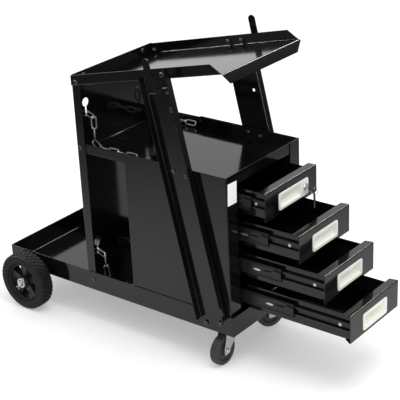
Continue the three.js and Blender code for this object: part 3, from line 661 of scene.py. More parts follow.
# Cabinet: two side panels with a wide front return folded across, a plain sheet at the rear, and an inner
# wall on each side that the drawer slides are riveted to.
slide_paint, shader, place = start_finish("satin_black_slide")
wear = place.mottle(30, 4, 0.6)
grain = place.mottle(1200, 2)
worn = wear.sharpen(0.35, 0.75) * 0.8 + grain * 0.2
join_to(
    shader,
    Base_Color=worn.tint((0.0025, 0.0025, 0.0028), (0.009, 0.009, 0.0095)),
    Roughness=0.22 + wear * 0.14 + grain * 0.05,
    Normal=grain.bumps(0.1, 0.0002),
)


def rail(name, low_x, high_x, web, height, y_from, y_to, shape=None):
    """A slide rail: a shallow rolled channel with its web on one side."""
    low = (low_x, y_from, -height / 2)
    high = (high_x, y_to, height / 2)
    return folded_sheet(name, low, high, web + " +z -z", bend=1.6 * mm, sheet=1.2 * mm, shape=shape)


mirror = Matrix.Scale(-1, 4, (1, 0, 0))
side_low, side_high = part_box("right_side_panel")
side_sheet = folded_sheet("side_sheet", side_low, side_high, "+x -y")
break_edges(side_sheet)

wall_low, wall_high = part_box("right_runner_panel")
wall = block("runner_wall", (106.1 * mm, wall_low[1], wall_low[2]), (107.6 * mm, wall_high[1], wall_high[2]))
drawer_bottoms = [388.5 * mm, 308 * mm, 227.5 * mm, 147 * mm]
drawer_open = [75 * mm, 165 * mm, 231 * mm, 297 * mm]
slide_lift = 36.5 * mm
rail_front, rail_length = behind(11), 286 * mm
fixed_rail = rail("fixed_rail", 99.1 * mm, 106.2 * mm, "+x", 38 * mm, rail_front, rail_front + rail_length)
fixed_rails = [
    copy_of(fixed_rail, "fixed_rail", Matrix.Translation((0, 0, bottom + slide_lift))) for bottom in drawer_bottoms
]
bpy.data.objects.remove(fixed_rail)
runner_wall = weld([wall, *fixed_rails], "runner_wall")
break_edges(runner_wall, 0.25 * mm)
for name, matrix in (("right", Matrix.Identity(4)), ("left", mirror)):
    sheet_copy = copy_of(side_sheet, name + "_side_sheet", matrix)
    settle(sheet_copy, powder_coat, "black_paint", "frame", name + "_side_panel")
    wall_copy = copy_of(runner_wall, name + "_runner_wall", matrix)
    settle(wall_copy, slide_paint, "black_slide", "frame", name + "_runner_panel")
bpy.data.objects.remove(side_sheet)
bpy.data.objects.remove(runner_wall)

rear_low, rear_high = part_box("cabinet_rear_panel")
rear_sheet = block("rear_sheet", rear_low, rear_high)
swages = []
for height in (200 * mm, 360 * mm):
    swage = block(
        "swage",
        (-110 * mm, rear_high[1] - 1 * mm, height - 9 * mm),
        (110 * mm, rear_high[1] + 1.6 * mm, height + 9 * mm),
    )
    bpy.ops.object.mode_set(mode="EDIT")
    pick(swage, "EDGE", lambda edge: abs(edge.verts[0].co.y - edge.verts[1].co.y) > 1 * mm)
    bpy.ops.mesh.bevel(offset=8.9 * mm, segments=8, affect="EDGES")
    pick(swage, "FACE", lambda face: face.normal.y > 0.5)
    bpy.ops.transform.resize(value=(0.985, 1, 0.72))
    bpy.ops.object.mode_set(mode="OBJECT")
    swages.append(swage)
rear_sheet = weld([rear_sheet, *swages], "rear_sheet")
break_edges(rear_sheet, 0.4 * mm)
settle(rear_sheet, powder_coat, "black_paint", "frame", "cabinet_rear_panel")

# Shelf: a shallow pan over the drawers that reaches back to the back panel, its front lip a little higher.
shelf_low, shelf_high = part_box("shelf_tray")
lip_top = shelf_low[2] + 25.5 * mm


def raise_front_lip(piece):
    """Lowers the side and rear lips below the front one."""
    pick(piece, "VERT", lambda v: v.co.z > shelf_low[2] + 5 * mm and v.co.y > shelf_low[1] + 5 * mm)
    bpy.ops.transform.translate(value=(0, 0, lip_top - shelf_high[2]))


shelf = folded_sheet("shelf_pan", shelf_low, shelf_high, "-x +x -y +y -z", shape=raise_front_lip)
break_edges(shelf)
settle(shelf, powder_coat, "black_paint", "frame", "shelf_tray")

# Label: a blank white paper sticker on the cabinet's left front return.
label_paper, shader, place = start_finish("label_paper")
fibre = place.mottle(700, 3)
join_to(
    shader,
    Base_Color=fibre.tint((0.93, 0.93, 0.92), (0.98, 0.98, 0.97)),
    Roughness=0.45 + fibre * 0.15,
    Normal=fibre.bumps(0.1, 0.0001),
)
cabinet_face = side_low[1]
label = block(
    "blank_label",
    (-142.6 * mm, cabinet_face - 0.3 * mm, 425 * mm),
    (-109 * mm, cabinet_face - 0.02 * mm, 478 * mm),
)
bpy.ops.object.mode_set(mode="EDIT")
pick(label, "EDGE", lambda edge: abs(edge.verts[0].co.y - edge.verts[1].co.y) > 0.1 * mm)
bpy.ops.mesh.bevel(offset=2 * mm, segments=4, affect="EDGES")
bpy.ops.object.mode_set(mode="OBJECT")
label_middle = Matrix.Translation((-125.8 * mm, 0, 451.5 * mm))
label.data.transform(label_middle @ Matrix.Rotation(radians(2.5), 4, "Y") @ label_middle.inverted())
settle(label, label_paper, "pull_plastic", "frame")

# Drawers: folded pans with a channel-shaped front, each hung on a pair of three-part ball-bearing slides.
# A moulded cream cup clips into each front as its pull.
cream_plastic, shader, place = start_finish("cream_plastic")
flow = place.mottle(26, 3)
grain = place.mottle(1400, 2)
join_to(
    shader,
    Base_Color=(flow * 0.85 + grain * 0.15).tint((0.78, 0.78, 0.7), (0.86, 0.855, 0.78)),
    Roughness=0.26 + grain * 0.12,
    Normal=grain.bumps(0.08, 0.0002),
)
shader.inputs["Subsurface Weight"].default_value = 0.06
shader.inputs["Subsurface Radius"].default_value = (0.004, 0.003, 0.002)

drawer_half, drawer_height = 105 * mm, 70 * mm
pull_left, pull_right, lock_pull_right = -52 * mm, 52 * mm, 68 * mm
pull_under, pull_over = 10 * mm, 52 * mm
cup_depth, cup_wall, pull_border = 14 * mm, 1.5 * mm, 6 * mm
lock_x, lock_z = 56 * mm, 31 * mm


def across(piece, radius, segments):
    """Rounds the edges of a block that run front to back."""
    bpy.ops.object.mode_set(mode="EDIT")
    pick(piece, "EDGE", lambda edge: abs(edge.verts[0].co.y - edge.verts[1].co.y) > 0.5 * mm)
    bpy.ops.mesh.bevel(offset=radius, segments=segments, affect="EDGES")
    bpy.ops.object.mode_set(mode="OBJECT")


def trim_returns(piece):
    """Cuts the ends of a drawer front's two returns at a slant, the lower one more."""
    for upper, rear_half in ((True, 101 * mm), (False, 91 * mm)):
        pick(piece, "VERT", lambda v: v.co.y > 5 * mm and (v.co.z > 5 * mm) == upper)
        bpy.ops.transform.resize(value=(rear_half / drawer_half, 1, 1))


def drawer_front(right):
    """A channel-shaped drawer front with the opening for its pull."""
    low = (-drawer_half, 0, 0)
    high = (drawer_half, 21.2 * mm, drawer_height)
    front = folded_sheet("drawer_face", low, high, "-y +z -z", bend=2.4 * mm, shape=trim_returns)
    clear = 2 * mm
    opening = block(
        "pull_opening",
        (pull_left + clear, -5 * mm, pull_under + clear),
        (right - clear, 5 * mm, pull_over - clear),
    )
    carve(front, opening)
    break_edges(front)
    return front


def draw_in(piece):
    """Slopes the walls of a cup, the lower one most, by making its floor smaller and higher."""
    pick(piece, "FACE", lambda face: face.normal.y > 0.5)
    bpy.ops.transform.resize(value=(0.82, 1, 0.52))
    bpy.ops.transform.translate(value=(0, 0, 5 * mm))


def moulded_pull(right, cup_right):
    """A cream border round a finger cup, as one moulding."""
    border = block("pull", (pull_left, -1.8 * mm, pull_under), (right, 1 * mm, pull_over))
    across(border, 6 * mm, 6)
    hollow = block(
        "pull_hollow",
        (pull_left + pull_border, -9 * mm, pull_under + pull_border),
        (cup_right - pull_border, 9 * mm, pull_over - pull_border),
    )
    across(hollow, 3 * mm, 4)
    carve(border, hollow)
    outside = pull_border - cup_wall
    cup = folded_sheet(
        "pull_cup",
        (pull_left + outside, -0.6 * mm, pull_under + outside),
        (cup_right - outside, cup_depth, pull_over - outside),
        "+y -x +x -z +z",
        bend=1.6 * mm,
        sheet=cup_wall,
        shape=draw_in,
    )
    pull = weld([border, cup], "pull")
    break_edges(pull, 0.6 * mm, 3)
    return pull


box_half, box_front, box_rear = 92 * mm, 1.6 * mm, 290 * mm
drawer_pan = folded_sheet(
    "drawer_pan", (-box_half, box_front, 2 * mm), (box_half, box_rear, 64 * mm), "-x +x +y -z"
)
break_edges(drawer_pan)

inner_web, inner_tip, rolled_lip = 92.3 * mm, 99.3 * mm, 5 * mm


def roll_lips(piece):
    """Turns the tips of an inner rail's flanges towards each other."""
    for end in (-1, 1):
        tip = inner_tip - 0.5 * mm
        pick(piece, "EDGE", lambda edge: all(v.co.x > tip and v.co.z * end > 0 for v in edge.verts))
        bpy.ops.mesh.extrude_region_move(TRANSFORM_OT_translate={"value": (0, 0, -end * rolled_lip)})
    bpy.ops.mesh.select_all(action="SELECT")
    bpy.ops.mesh.normals_make_consistent(inside=False)


inner_rail = rail("inner_rail", inner_web, inner_tip, "-x", 24 * mm, 3 * mm, 288 * mm, shape=roll_lips)
break_edges(inner_rail, 0.25 * mm)
inner_rail.data.transform(Matrix.Translation((0, 0, slide_lift)))

# The slanted ends of the groove make the thickened web a little longer, so the channel starts short of its ends
middle_web, groove_border, groove_depth = 103.7 * mm, 5.5 * mm, 2.5 * mm


def press_groove(piece):
    """Presses a long groove into a middle rail's web."""
    pick(piece, "FACE", lambda face: face.normal.x > 0.5)
    bpy.ops.mesh.inset(thickness=groove_border)
    bpy.ops.transform.translate(value=(-groove_depth, 0, 0))
    bpy.ops.transform.resize(value=(1, 1, 0.86))


flare = 1.6 * mm
rail_end = rail_length - flare
middle_channel = rail("middle_rail", 96.7 * mm, middle_web, "+x", 31 * mm, flare, rail_end, shape=press_groove)
cages = []
for end in (-1, 1):
    for low_x, near, far in ((100.1, 15, 17.35), (96.8, 12.4, 14.9)):
        cage = block(
            "ball_cage",
            (low_x * mm, 0, min(end * near, end * far) * mm),
            ((low_x + 2) * mm, rail_length, max(end * near, end * far) * mm),
        )
        cages.append(cage)
middle_rail = weld([middle_channel, *cages], "middle_rail")
break_edges(middle_rail, 0.25 * mm)

# A black plastic latch lies in the groove at the middle rail's front end, with a zinc spring behind it
groove_floor = middle_web - groove_depth
latch_outline = [(0, -8), (21, -10), (27, -3.4), (51, -2.6), (51, 2.6), (27, 3.4), (21, 10), (0, 8)]
latch = cut_plate(
    "latch",
    [(y * mm, z * mm) for y, z in latch_outline],
    groove_floor + 0.2 * mm,
    middle_web + 0.8 * mm,
    2 * mm,
)
grip = cut_plate(
    "latch_grip",
    [(2 * mm, -6 * mm), (13 * mm, -7 * mm), (13 * mm, 7 * mm), (2 * mm, 6 * mm)],
    middle_web - 0.5 * mm,
    middle_web + 1.2 * mm,
    2 * mm,
)
latch = weld([latch, grip], "latch")
break_edges(latch, 0.4 * mm)
spring_outline = [(57, -1.6), (67, -3), (77, -1.2), (77, 1.2), (67, 3), (57, 1.6)]
spring = cut_plate(
    "latch_spring",
    [(y * mm, z * mm) for y, z in spring_outline],
    groove_floor + 0.2 * mm,
    groove_floor + 1.4 * mm,
    1.2 * mm,
)
break_edges(spring, 0.3 * mm)


def pan_head(name, radius, height):
    """A domed screw head standing on z 0, with a recess for the driver."""
    bpy.ops.object.select_all(action="DESELECT")
    bpy.ops.mesh.primitive_cylinder_add(vertices=20, radius=radius, depth=height, location=(0, 0, height / 2))
    piece = bpy.context.object
    piece.name = name
    bpy.ops.object.transform_apply(location=True, rotation=True, scale=True)
    bpy.ops.object.mode_set(mode="EDIT")
    pick(piece, "EDGE", lambda edge: all(v.co.z > 0.9 * height for v in edge.verts))
    bpy.ops.mesh.bevel(offset=0.62 * height, segments=4, affect="EDGES")
    pick(piece, "FACE", lambda face: face.normal.z > 0.999)
    bpy.ops.mesh.inset(thickness=0.18 * radius)
    bpy.ops.mesh.inset(thickness=0.06 * radius, depth=-0.45 * height)
    bpy.ops.object.mode_set(mode="OBJECT")
    only(piece)
    bpy.ops.object.shade_smooth_by_angle(angle=radians(30))
    return piece


screw = pan_head("slide_screw", 4.6 * mm, 2 * mm)
screw.data.transform(Matrix.Translation((93.5 * mm, 33 * mm, slide_lift)) @ Matrix.Rotation(pi / 2, 4, "Y"))
fronts = (drawer_front(lock_pull_right), drawer_front(pull_right))
pulls = (moulded_pull(lock_pull_right, 42 * mm), moulded_pull(pull_right, pull_right))
cabinet_front = behind(8)
for n in range(1, 5):
    name = "drawer_" + str(n)
    opened, bottom = drawer_open[n - 1], drawer_bottoms[n - 1]
    kind = 0 if n == 1 else 1
    at = Matrix.Translation((0, cabinet_front - opened, bottom))
    runner_at = Matrix.Translation((0, rail_front - opened / 2, bottom + slide_lift))
    settle(copy_of(drawer_pan, name + "_pan", at), powder_coat, "black_paint", name, name + "_box")
    settle(copy_of(fronts[kind], name + "_face", at), powder_coat, "black_paint", name, name + "_front")
    settle(copy_of(pulls[kind], name + "_cup_pull", at), cream_plastic, "pull_plastic", name, name + "_pull")
    for side, flip in (("right", Matrix.Identity(4)), ("left", mirror)):
        slide = copy_of(inner_rail, name + "_" + side + "_drawer_rail", at @ flip)
        settle(slide, slide_paint, "black_slide", name, name + "_" + side + "_inner_rail")
        carrier = copy_of(middle_rail, name + "_" + side + "_carrier_rail", runner_at @ flip)
        runner = "runner_" + str(n)
        settle(carrier, slide_paint, "black_slide", runner, name + "_" + side + "_middle_rail")
        latch_copy = copy_of(latch, name + "_" + side + "_latch", runner_at @ flip)
        settle(latch_copy, moulded_black, "black_plastic", runner)
        spring_copy = copy_of(spring, name + "_" + side + "_latch_spring", runner_at @ flip)
        settle(spring_copy, zinc_plate, "zinc", runner)
        settle(copy_of(screw, name + "_" + side + "_screw", at @ flip), zinc_plate, "zinc", name)
for done in (drawer_pan, inner_rail, middle_rail, latch, spring, screw, *fronts, *pulls):
    bpy.data.objects.remove(done)

# Lock: a zinc cam lock through the top drawer's pull, with its key lying flat in the plug.
# A second key hangs from the first one's ring.
lock_front, lock_back = -4 * mm, 12 * mm
top_drawer = Matrix.Translation((0, cabinet_front - drawer_open[0], drawer_bottoms[0]))
lock_at = top_drawer @ Matrix.Translation((lock_x, 0, lock_z))
to_rear = Matrix.Rotation(pi / 2, 4, "Z")
barrel = turned_ring(
    "lock_case",
    [
        (lock_front, 5.3 * mm),
        (lock_front, 8.2 * mm),
        (lock_front + 0.8 * mm, 9 * mm),
        (-2.1 * mm, 9 * mm),
        (-2.1 * mm, 7 * mm),
        (lock_back, 7 * mm),
        (lock_back, 5.3 * mm),
    ],
    40,
)
barrel.data.transform(lock_at @ to_rear)
only(barrel)
bpy.ops.object.shade_smooth_by_angle(angle=radians(35))
settle(barrel, zinc_plate, "zinc", "drawer_1", "lock_barrel")

core = round_bar("lock_core", 5 * mm, lock_front - 0.6 * mm, lock_back + 2 * mm, 32, 0.4 * mm)
core.data.transform(to_rear)
carve(core, block("keyway", (-4 * mm, -9 * mm, -1.2 * mm), (4 * mm, 9 * mm, 1.2 * mm)))
cam = block("lock_cam", (-2 * mm, lock_back + 1 * mm, -16 * mm), (2 * mm, lock_back + 3 * mm, 4 * mm))
core = weld([core, cam], "lock_core")
break_edges(core, 0.25 * mm)
core.data.transform(lock_at)
settle(core, zinc_plate, "zinc", "lock", "lock_plug")


def key_with_head(name):
    """A flat blade and its round plastic head, as two pieces."""
    blade = block(name + "_blade", (-0.9 * mm, -14 * mm, -3.7 * mm), (0.9 * mm, 8 * mm, 3.7 * mm))
    for i, depth in enumerate((1.6, 2.4, 1.2, 2)):
        notch_y = (6 - 3.4 * i) * mm
        notch_foot = (-3 * mm, notch_y - 1 * mm, (3.7 - depth) * mm)
        notch = block("key_notch", notch_foot, (3 * mm, notch_y + 1 * mm, 9 * mm))
        carve(blade, notch)
    break_edges(blade, 0.2 * mm)
    head = round_bar(name + "_head", 10.5 * mm, -1.8 * mm, 1.8 * mm, 40, 1 * mm)
    head.data.transform(Matrix.Translation((0, -20 * mm, 0)))
    hole = round_bar("ring_hole", 2.4 * mm, -5 * mm, 5 * mm, 20, 0.1 * mm)
    hole.data.transform(Matrix.Translation((0, -25.5 * mm, 0)))
    carve(head, hole)
    break_edges(head, 0.3 * mm)
    return blade, head


blade, head = key_with_head("key")
ring_radius, key_eye = 8 * mm, 25.5 * mm
ring = turned_ring("key_ring", soft_section(0.7 * mm, ring_radius - 0.7 * mm, ring_radius + 0.7 * mm, 8, 1), 32)
ring_at = lock_at @ Matrix.Translation((0, -key_eye, -ring_radius + 1 * mm))
ring.data.transform(ring_at @ Matrix.Rotation(0.5, 4, "Z"))
hang_down = Matrix.Rotation(-pi / 2, 4, "X") @ Matrix.Translation((0, key_eye, 0))
below_ring = Matrix.Translation((0, -key_eye, 2 * mm - 2 * ring_radius)) @ Matrix.Rotation(-0.9, 4, "Z")
spare_blade = copy_of(blade, "spare_key_blade", lock_at @ below_ring @ hang_down)
spare_head = copy_of(head, "spare_key_head", lock_at @ below_ring @ hang_down)
lie_flat = Matrix.Rotation(pi / 2, 4, "Y")
blade.data.transform(lock_at @ lie_flat)
head.data.transform(lock_at @ lie_flat)
settle(head, moulded_black, "black_plastic", "lock", "lock_key")
settle(spare_head, moulded_black, "black_plastic", "lock")
for steel in (blade, spare_blade, ring):
    settle(steel, zinc_plate, "zinc", "lock")

# Leaning posts: open channels with their webs flat against the cart's sides, punched with four holes.
# A flat bar hook is bolted at the top hole of each, to hang cables on.
lean = radians(12.8)
post_foot = Matrix.Translation((0, behind(54), 118 * mm)) @ Matrix.Rotation(-lean, 4, "X")
post_half, post_length = 40 * mm, 615.7 * mm
flange_foot, flange_top, foot_tongue = 12 * mm, 604 * mm, 11 * mm
web_inner, web_outer, flange_tip = 149.5 * mm, 151 * mm, 168.5 * mm
hole_across = -21 * mm
top_hole, hole_pitch = 608 * mm, 42.5 * mm
post = folded_sheet(
    "post", (web_inner, -post_half, flange_foot), (flange_tip, post_half, flange_top), "-x -y +y"
)
tongues = []
for low_z, high_z in ((-foot_tongue, flange_foot + 6 * mm), (flange_top - 6 * mm, post_length)):
    edge = post_half - 1.2 * mm
    outline = [(-edge, low_z), (edge, low_z), (edge, high_z), (-edge, high_z)]
    tongue = cut_plate("post_tongue", outline, web_inner + 0.05 * mm, web_outer - 0.05 * mm, 9 * mm)
    tongues.append(tongue)
post = weld([post, *tongues], "post")
for i in range(4):
    drill = round_bar("hole", 4 * mm, web_inner - 9 * mm, web_outer + 9 * mm, 24, 0.1 * mm)
    drill.data.transform(Matrix.Translation((0, hole_across, top_hole - i * hole_pitch)))
    carve(post, drill)
break_edges(post)

hook_inner, hook_reach, hook_sheet, hook_bend = 151.3 * mm, 49 * mm, 3 * mm, 5 * mm
hook_half, hook_root, hook_tip = 9.5 * mm, 43 * mm, 82 * mm
hook_outer = hook_inner + hook_reach
inside_bend = hook_bend - hook_sheet
hook_outline = [(hook_inner, hook_root)]
hook_outline += arc((hook_inner + hook_bend, hook_bend), hook_bend, pi, 1.5 * pi, 6)
hook_outline += arc((hook_outer - hook_bend, hook_bend), hook_bend, 1.5 * pi, 2 * pi, 6)
hook_outline += [(hook_outer, hook_tip), (hook_outer - hook_sheet, hook_tip)]
hook_outline += arc((hook_outer - hook_bend, hook_bend), inside_bend, 2 * pi, 1.5 * pi, 6)
hook_outline += arc((hook_inner + hook_bend, hook_bend), inside_bend, 1.5 * pi, pi, 6)
hook_outline += [(hook_inner + hook_sheet, hook_root)]
hook = cut_plate("hook", hook_outline, -hook_half, hook_half, 0)
hook.data.transform(Matrix.Rotation(-pi / 2, 4, "Z"))
bpy.ops.object.mode_set(mode="EDIT")
pick(hook, "EDGE", lambda edge: all(v.co.z > hook_root - 1 * mm for v in edge.verts)
     and abs(edge.verts[0].co.x - edge.verts[1].co.x) > 1 * mm)
bpy.ops.mesh.bevel(offset=hook_half - 0.3 * mm, segments=8, affect="EDGES")
bpy.ops.object.mode_set(mode="OBJECT")
break_edges(hook, 0.5 * mm)
hook.data.transform(Matrix.Translation((0, hole_across, post_length - hook_root - 1 * mm)))
for name, flip in (("right", Matrix.Identity(4)), ("left", mirror)):
    channel = copy_of(post, name + "_post_channel", flip @ post_foot)
    settle(channel, powder_coat, "black_paint", "frame", name + "_post")
    bar = copy_of(hook, name + "_bar_hook", flip @ post_foot)
    settle(bar, powder_coat, "black_paint", "frame", name + "_cable_hook")
bpy.data.objects.remove(post)
bpy.data.objects.remove(hook)

# Top tray: a sloping pan for the welding machine, higher at the front, with its front edge folded down.
# Its side lips are cut back at a slant in front and run on beside the back panel's flanges at the rear.
tray_front = Matrix.Translation((0, behind(4.4), 737.7 * mm)) @ Matrix.Rotation(-lean, 4, "X")
tray_half, tray_inner_half = 149.2 * mm, 145.8 * mm
tray_lip, lip_cut, front_flange, flange_slant, front_bend = 25.4 * mm, 30 * mm, 25 * mm, 20 * mm, 2.4 * mm
tray_lip_end = (457 - 4.4) * mm / cos(lean)
tray_length = (455.5 - 0.3 - 4.4) * mm / cos(lean) - 1.5 * mm * tan(lean)
tray_notch = (457 - 26 - 0.3 - 4.4) * mm / cos(lean) - 1 * mm


def shape_tray(piece):
    """Slants the side lips at both ends and folds the front edge down round a bend."""
    pick(piece, "VERT", lambda v: v.co.z > 1 * mm and v.co.y < 1 * mm)
    bpy.ops.transform.translate(value=(0, lip_cut, 0))
    pick(piece, "VERT", lambda v: v.co.z > 1 * mm and v.co.y > tray_lip_end - 1 * mm)
    bpy.ops.transform.translate(value=(0, -tray_lip * tan(lean), 0))
    pick(piece, "VERT", lambda v: v.co.y < 1 * mm and v.co.z < 1 * mm)
    bpy.ops.transform.translate(value=(0, front_bend, 0))
    pick(piece, "EDGE", lambda edge: all(v.co.y < front_bend + 1 * mm and v.co.z < 1 * mm for v in edge.verts))
    bend_steps = 6
    for i in range(bend_steps):
        a, b = pi / 2 * i / bend_steps, pi / 2 * (i + 1) / bend_steps
        step = (0, front_bend * (sin(a) - sin(b)), front_bend * (cos(b) - cos(a)))
        bpy.ops.mesh.extrude_region_move(TRANSFORM_OT_translate={"value": step})
    bpy.ops.mesh.extrude_region_move(TRANSFORM_OT_translate={"value": (0, 0, front_bend - front_flange)})
    bpy.ops.transform.resize(value=(1 - flange_slant / tray_half, 1, 1))
    bpy.ops.mesh.select_all(action="SELECT")
    bpy.ops.mesh.normals_make_consistent(inside=False)


tray = folded_sheet(
    "tray_pan", (-tray_half, 0, 0), (tray_half, tray_lip_end, tray_lip), "-x +x -z", shape=shape_tray
)
for side in (-1, 1):
    inner, outer = side * tray_inner_half, side * (tray_half - 1.6 * mm)
    notch = block(
        "tray_notch",
        (min(inner, outer), tray_notch, -5 * mm),
        (max(inner, outer), tray_lip_end + 9 * mm, 40 * mm),
    )
    carve(tray, notch)
tail_half = tray_inner_half + 1 * mm
tail_cut = block("tray_tail", (-tail_half, tray_length, -9 * mm), (tail_half, tray_lip_end + 9 * mm, 9 * mm))
carve(tray, tail_cut)
rear_top = (tray_length - tray_lip * sin(lean), tray_lip * cos(lean))
thick = 1.5 * mm
rear_outline = [(tray_length - thick, 0), (tray_length, 0), rear_top, (rear_top[0] - thick, rear_top[1])]
rear_lip = cut_plate("tray_rear_lip", rear_outline, -tray_inner_half, tray_inner_half, 0)
tray = weld([tray, rear_lip], "tray_pan")
break_edges(tray)
tray.data.transform(tray_front)
settle(tray, powder_coat, "black_paint", "frame", "top_tray")

# Bottle chains: welded links of zinc-plated wire, laid through the keyholes with slack behind the panel.
# Their tails hang down and lie on the shelf and on the base tray.
link_wire, link_pitch, link_width = 3.4 * mm, 30 * mm, 15 * mm
bend_radius = (link_width - link_wire) / 2
bpy.ops.object.select_all(action="DESELECT")
bpy.ops.mesh.primitive_torus_add(
    major_segments=20,
    minor_segments=8,
    major_radius=bend_radius,
    minor_radius=link_wire / 2,
    rotation=(0, 0, pi / 20),
)
link = bpy.context.object
bpy.ops.object.transform_apply(location=True, rotation=True, scale=True)
bpy.ops.object.mode_set(mode="EDIT")
for end in (-1, 1):
    pick(link, "VERT", lambda v: v.co.x * end > 0)
    stretch = (link_pitch + 2 * link_wire - 0.4 * mm - link_width) / 2
    bpy.ops.transform.translate(value=(end * stretch, 0, 0))
bpy.ops.object.mode_set(mode="OBJECT")
only(link)
bpy.ops.object.shade_smooth()


def smooth_route(points, steps=30):
    """Close points along a centripetal spline through the given ones."""
    ends = [2 * points[0] - points[1], *points, 2 * points[-1] - points[-2]]
    route = []
    for before, first, last, after in zip(ends, ends[1:], ends[2:], ends[3:]):
        a, b, c = ((q - p).length ** 0.5 for p, q in ((before, first), (first, last), (last, after)))
        leave = b * ((first - before) / a - (last - before) / (a + b) + (last - first) / b)
        arrive = b * ((last - first) / b - (after - first) / (b + c) + (after - last) / c)
        for i in range(steps):
            t = i / steps
            route.append(
                first * (2 * t**3 - 3 * t**2 + 1)
                + leave * (t**3 - 2 * t**2 + t)
                + last * (3 * t**2 - 2 * t**3)
                + arrive * (t**3 - t**2)
            )
    return [*route, points[-1]]


def chain_run(points, wide, first, odd=False):
    """Links along a route, each turned a quarter from the last, where wide is the flat side of an unturned one."""
    route = smooth_route([Vector(p) for p in points])
    reached = [0]
    for p, q in zip(route, route[1:]):
        reached.append(reached[-1] + (q - p).length)
    count = max(1, round(reached[-1] / link_pitch))
    if odd and count % 2 == 0:
        count += 1
    pitch = reached[-1] / count
    flat = Vector(wide)
    made = []
    for i in range(count):
        wanted = (i + 0.5) * pitch
        step = next(k for k in range(1, len(reached)) if reached[k] >= wanted)
        part = (wanted - reached[step - 1]) / (reached[step] - reached[step - 1])
        centre = route[step - 1].lerp(route[step], part)
        along = (route[step] - route[step - 1]).normalized()
        flat = (flat - along * flat.dot(along)).normalized()
        side = Quaternion(along, (first + i) % 2 * pi / 2) @ flat
        turned_to = Matrix((along, side, along.cross(side))).transposed().to_4x4()
        stretch = Matrix.Scale(pitch / link_pitch, 4, (1, 0, 0))
        made.append(copy_of(link, "chain_link", Matrix.Translation(centre) @ turned_to @ stretch))
    return made


chain_ahead, chain_droop, chain_sag, chain_stand_off = 8 * mm, 0.3, 50 * mm, 19 * mm


def bottle_chain(name, node, height, floor_z, tails, roll):
    """One chain through both keyholes at a height, its tails given outwards, ahead and up."""
    slot_z = height - keyhole_drop + link_width / 2 + 0.9 * mm
    panel = (back_front + back_high[1]) / 2
    inside = panel - chain_ahead - link_pitch / 2
    outside = panel - chain_ahead + link_pitch / 2
    inside_z = slot_z - chain_droop * (panel - inside)
    outside_z = slot_z + chain_droop * (outside - panel)
    lie = floor_z + link_width / 2 + 1.5 * mm
    upright = (0, 0, 1)
    links = []
    for side, tail in zip((-1, 1), tails):
        start = (side * keyhole_x, inside, inside_z)
        links += chain_run([start, (side * keyhole_x, outside, outside_z)], upright, 0)
        hanging = [
            (side * (keyhole_x + out * mm), back_front - ahead * mm, lie + up * mm) for out, ahead, up in tail
        ]
        links += chain_run([start, *hanging], (side * roll, -1, 0), 1)
    half_sag = ((0.5, 1, 0.8), (0.93, 0.8, 0.15), (1, 0, 0))
    sag = [*((-a, b, c) for a, b, c in reversed(half_sag)), (0, 1, 1), *half_sag]
    slack = [(a * keyhole_x, outside + b * chain_stand_off, outside_z - c * chain_sag) for a, b, c in sag]
    links += chain_run(slack, upright, 1, odd=True)
    settle(weld(links, name), zinc_plate, "zinc", "frame", node)


base_tail = ((0, 23, 46), (-1, 24, 23), (-2, 30, 5), (-4, 50, 0), (-8, 80, 0), (-13, 112, 0))
shelf_left_tail = ((1, 23, 46), (3, 24, 23), (6, 30, 5), (9, 50, 0), (10, 80, 0), (10, 120, 0), (9, 160, 0))
shelf_right_tail = ((4, 24, 48), (12, 27, 24), (19, 36, 7), (24, 60, 0), (26, 100, 0), (25, 143, 0))
base_floor, shelf_floor = base_under + 1.5 * mm, shelf_low[2] + 1.5 * mm
base_tails, shelf_tails = (base_tail, base_tail), (shelf_left_tail, shelf_right_tail)
bottle_chain("base_bottle_chain", "lower_chain", keyhole_heights[0], base_floor, base_tails, -1)
bottle_chain("shelf_bottle_chain", "upper_chain", keyhole_heights[1], shelf_floor, shelf_tails, 1)
bpy.data.objects.remove(link)

# Bolts: black domed heads outside and hexagon nuts inside hold the posts to the base, shelf and tray, and the
# back panel's flanges to all three. The hooks hang on the posts' top bolts.
black_bolt, shader, place = start_finish("blackened_bolt")
oxide = place.mottle(160, 3)
grain = place.mottle(1500, 2)
join_to(
    shader,
    Base_Color=(oxide * 0.8 + grain * 0.2).tint((0.05, 0.05, 0.052), (0.16, 0.16, 0.165)),
    Roughness=0.16 + oxide * 0.16,
    Normal=grain.bumps(0.15, 0.0002),
)
shader.inputs["Metallic"].default_value = 0.85
bolt_head = pan_head("bolt_head", 6.2 * mm, 3.6 * mm)
bolt_nut = hex_head("bolt_nut", 6 * mm, 5 * mm)
bolt_end = round_bar("bolt_end", 3 * mm, 0, 9 * mm, 16, 0.5 * mm)
bolt_end.data.transform(Matrix.Rotation(-pi / 2, 4, "Y"))
bolt_nut = weld([bolt_nut, bolt_end], "bolt_nut")
only(bolt_nut)
bpy.ops.object.shade_smooth_by_angle(angle=radians(30))
out_right, in_left = Matrix.Rotation(pi / 2, 4, "Y"), Matrix.Rotation(-pi / 2, 4, "Y")


def through_bolt(head_x, nut_x, y, z, frame=Matrix.Identity(4)):
    """A head facing out at one X and a nut facing in at another, for the right side."""
    head = copy_of(bolt_head, "bolt", frame @ Matrix.Translation((head_x, y, z)) @ out_right)
    nut = copy_of(bolt_nut, "nut", frame @ Matrix.Translation((nut_x, y, z)) @ in_left)
    return [head, nut]


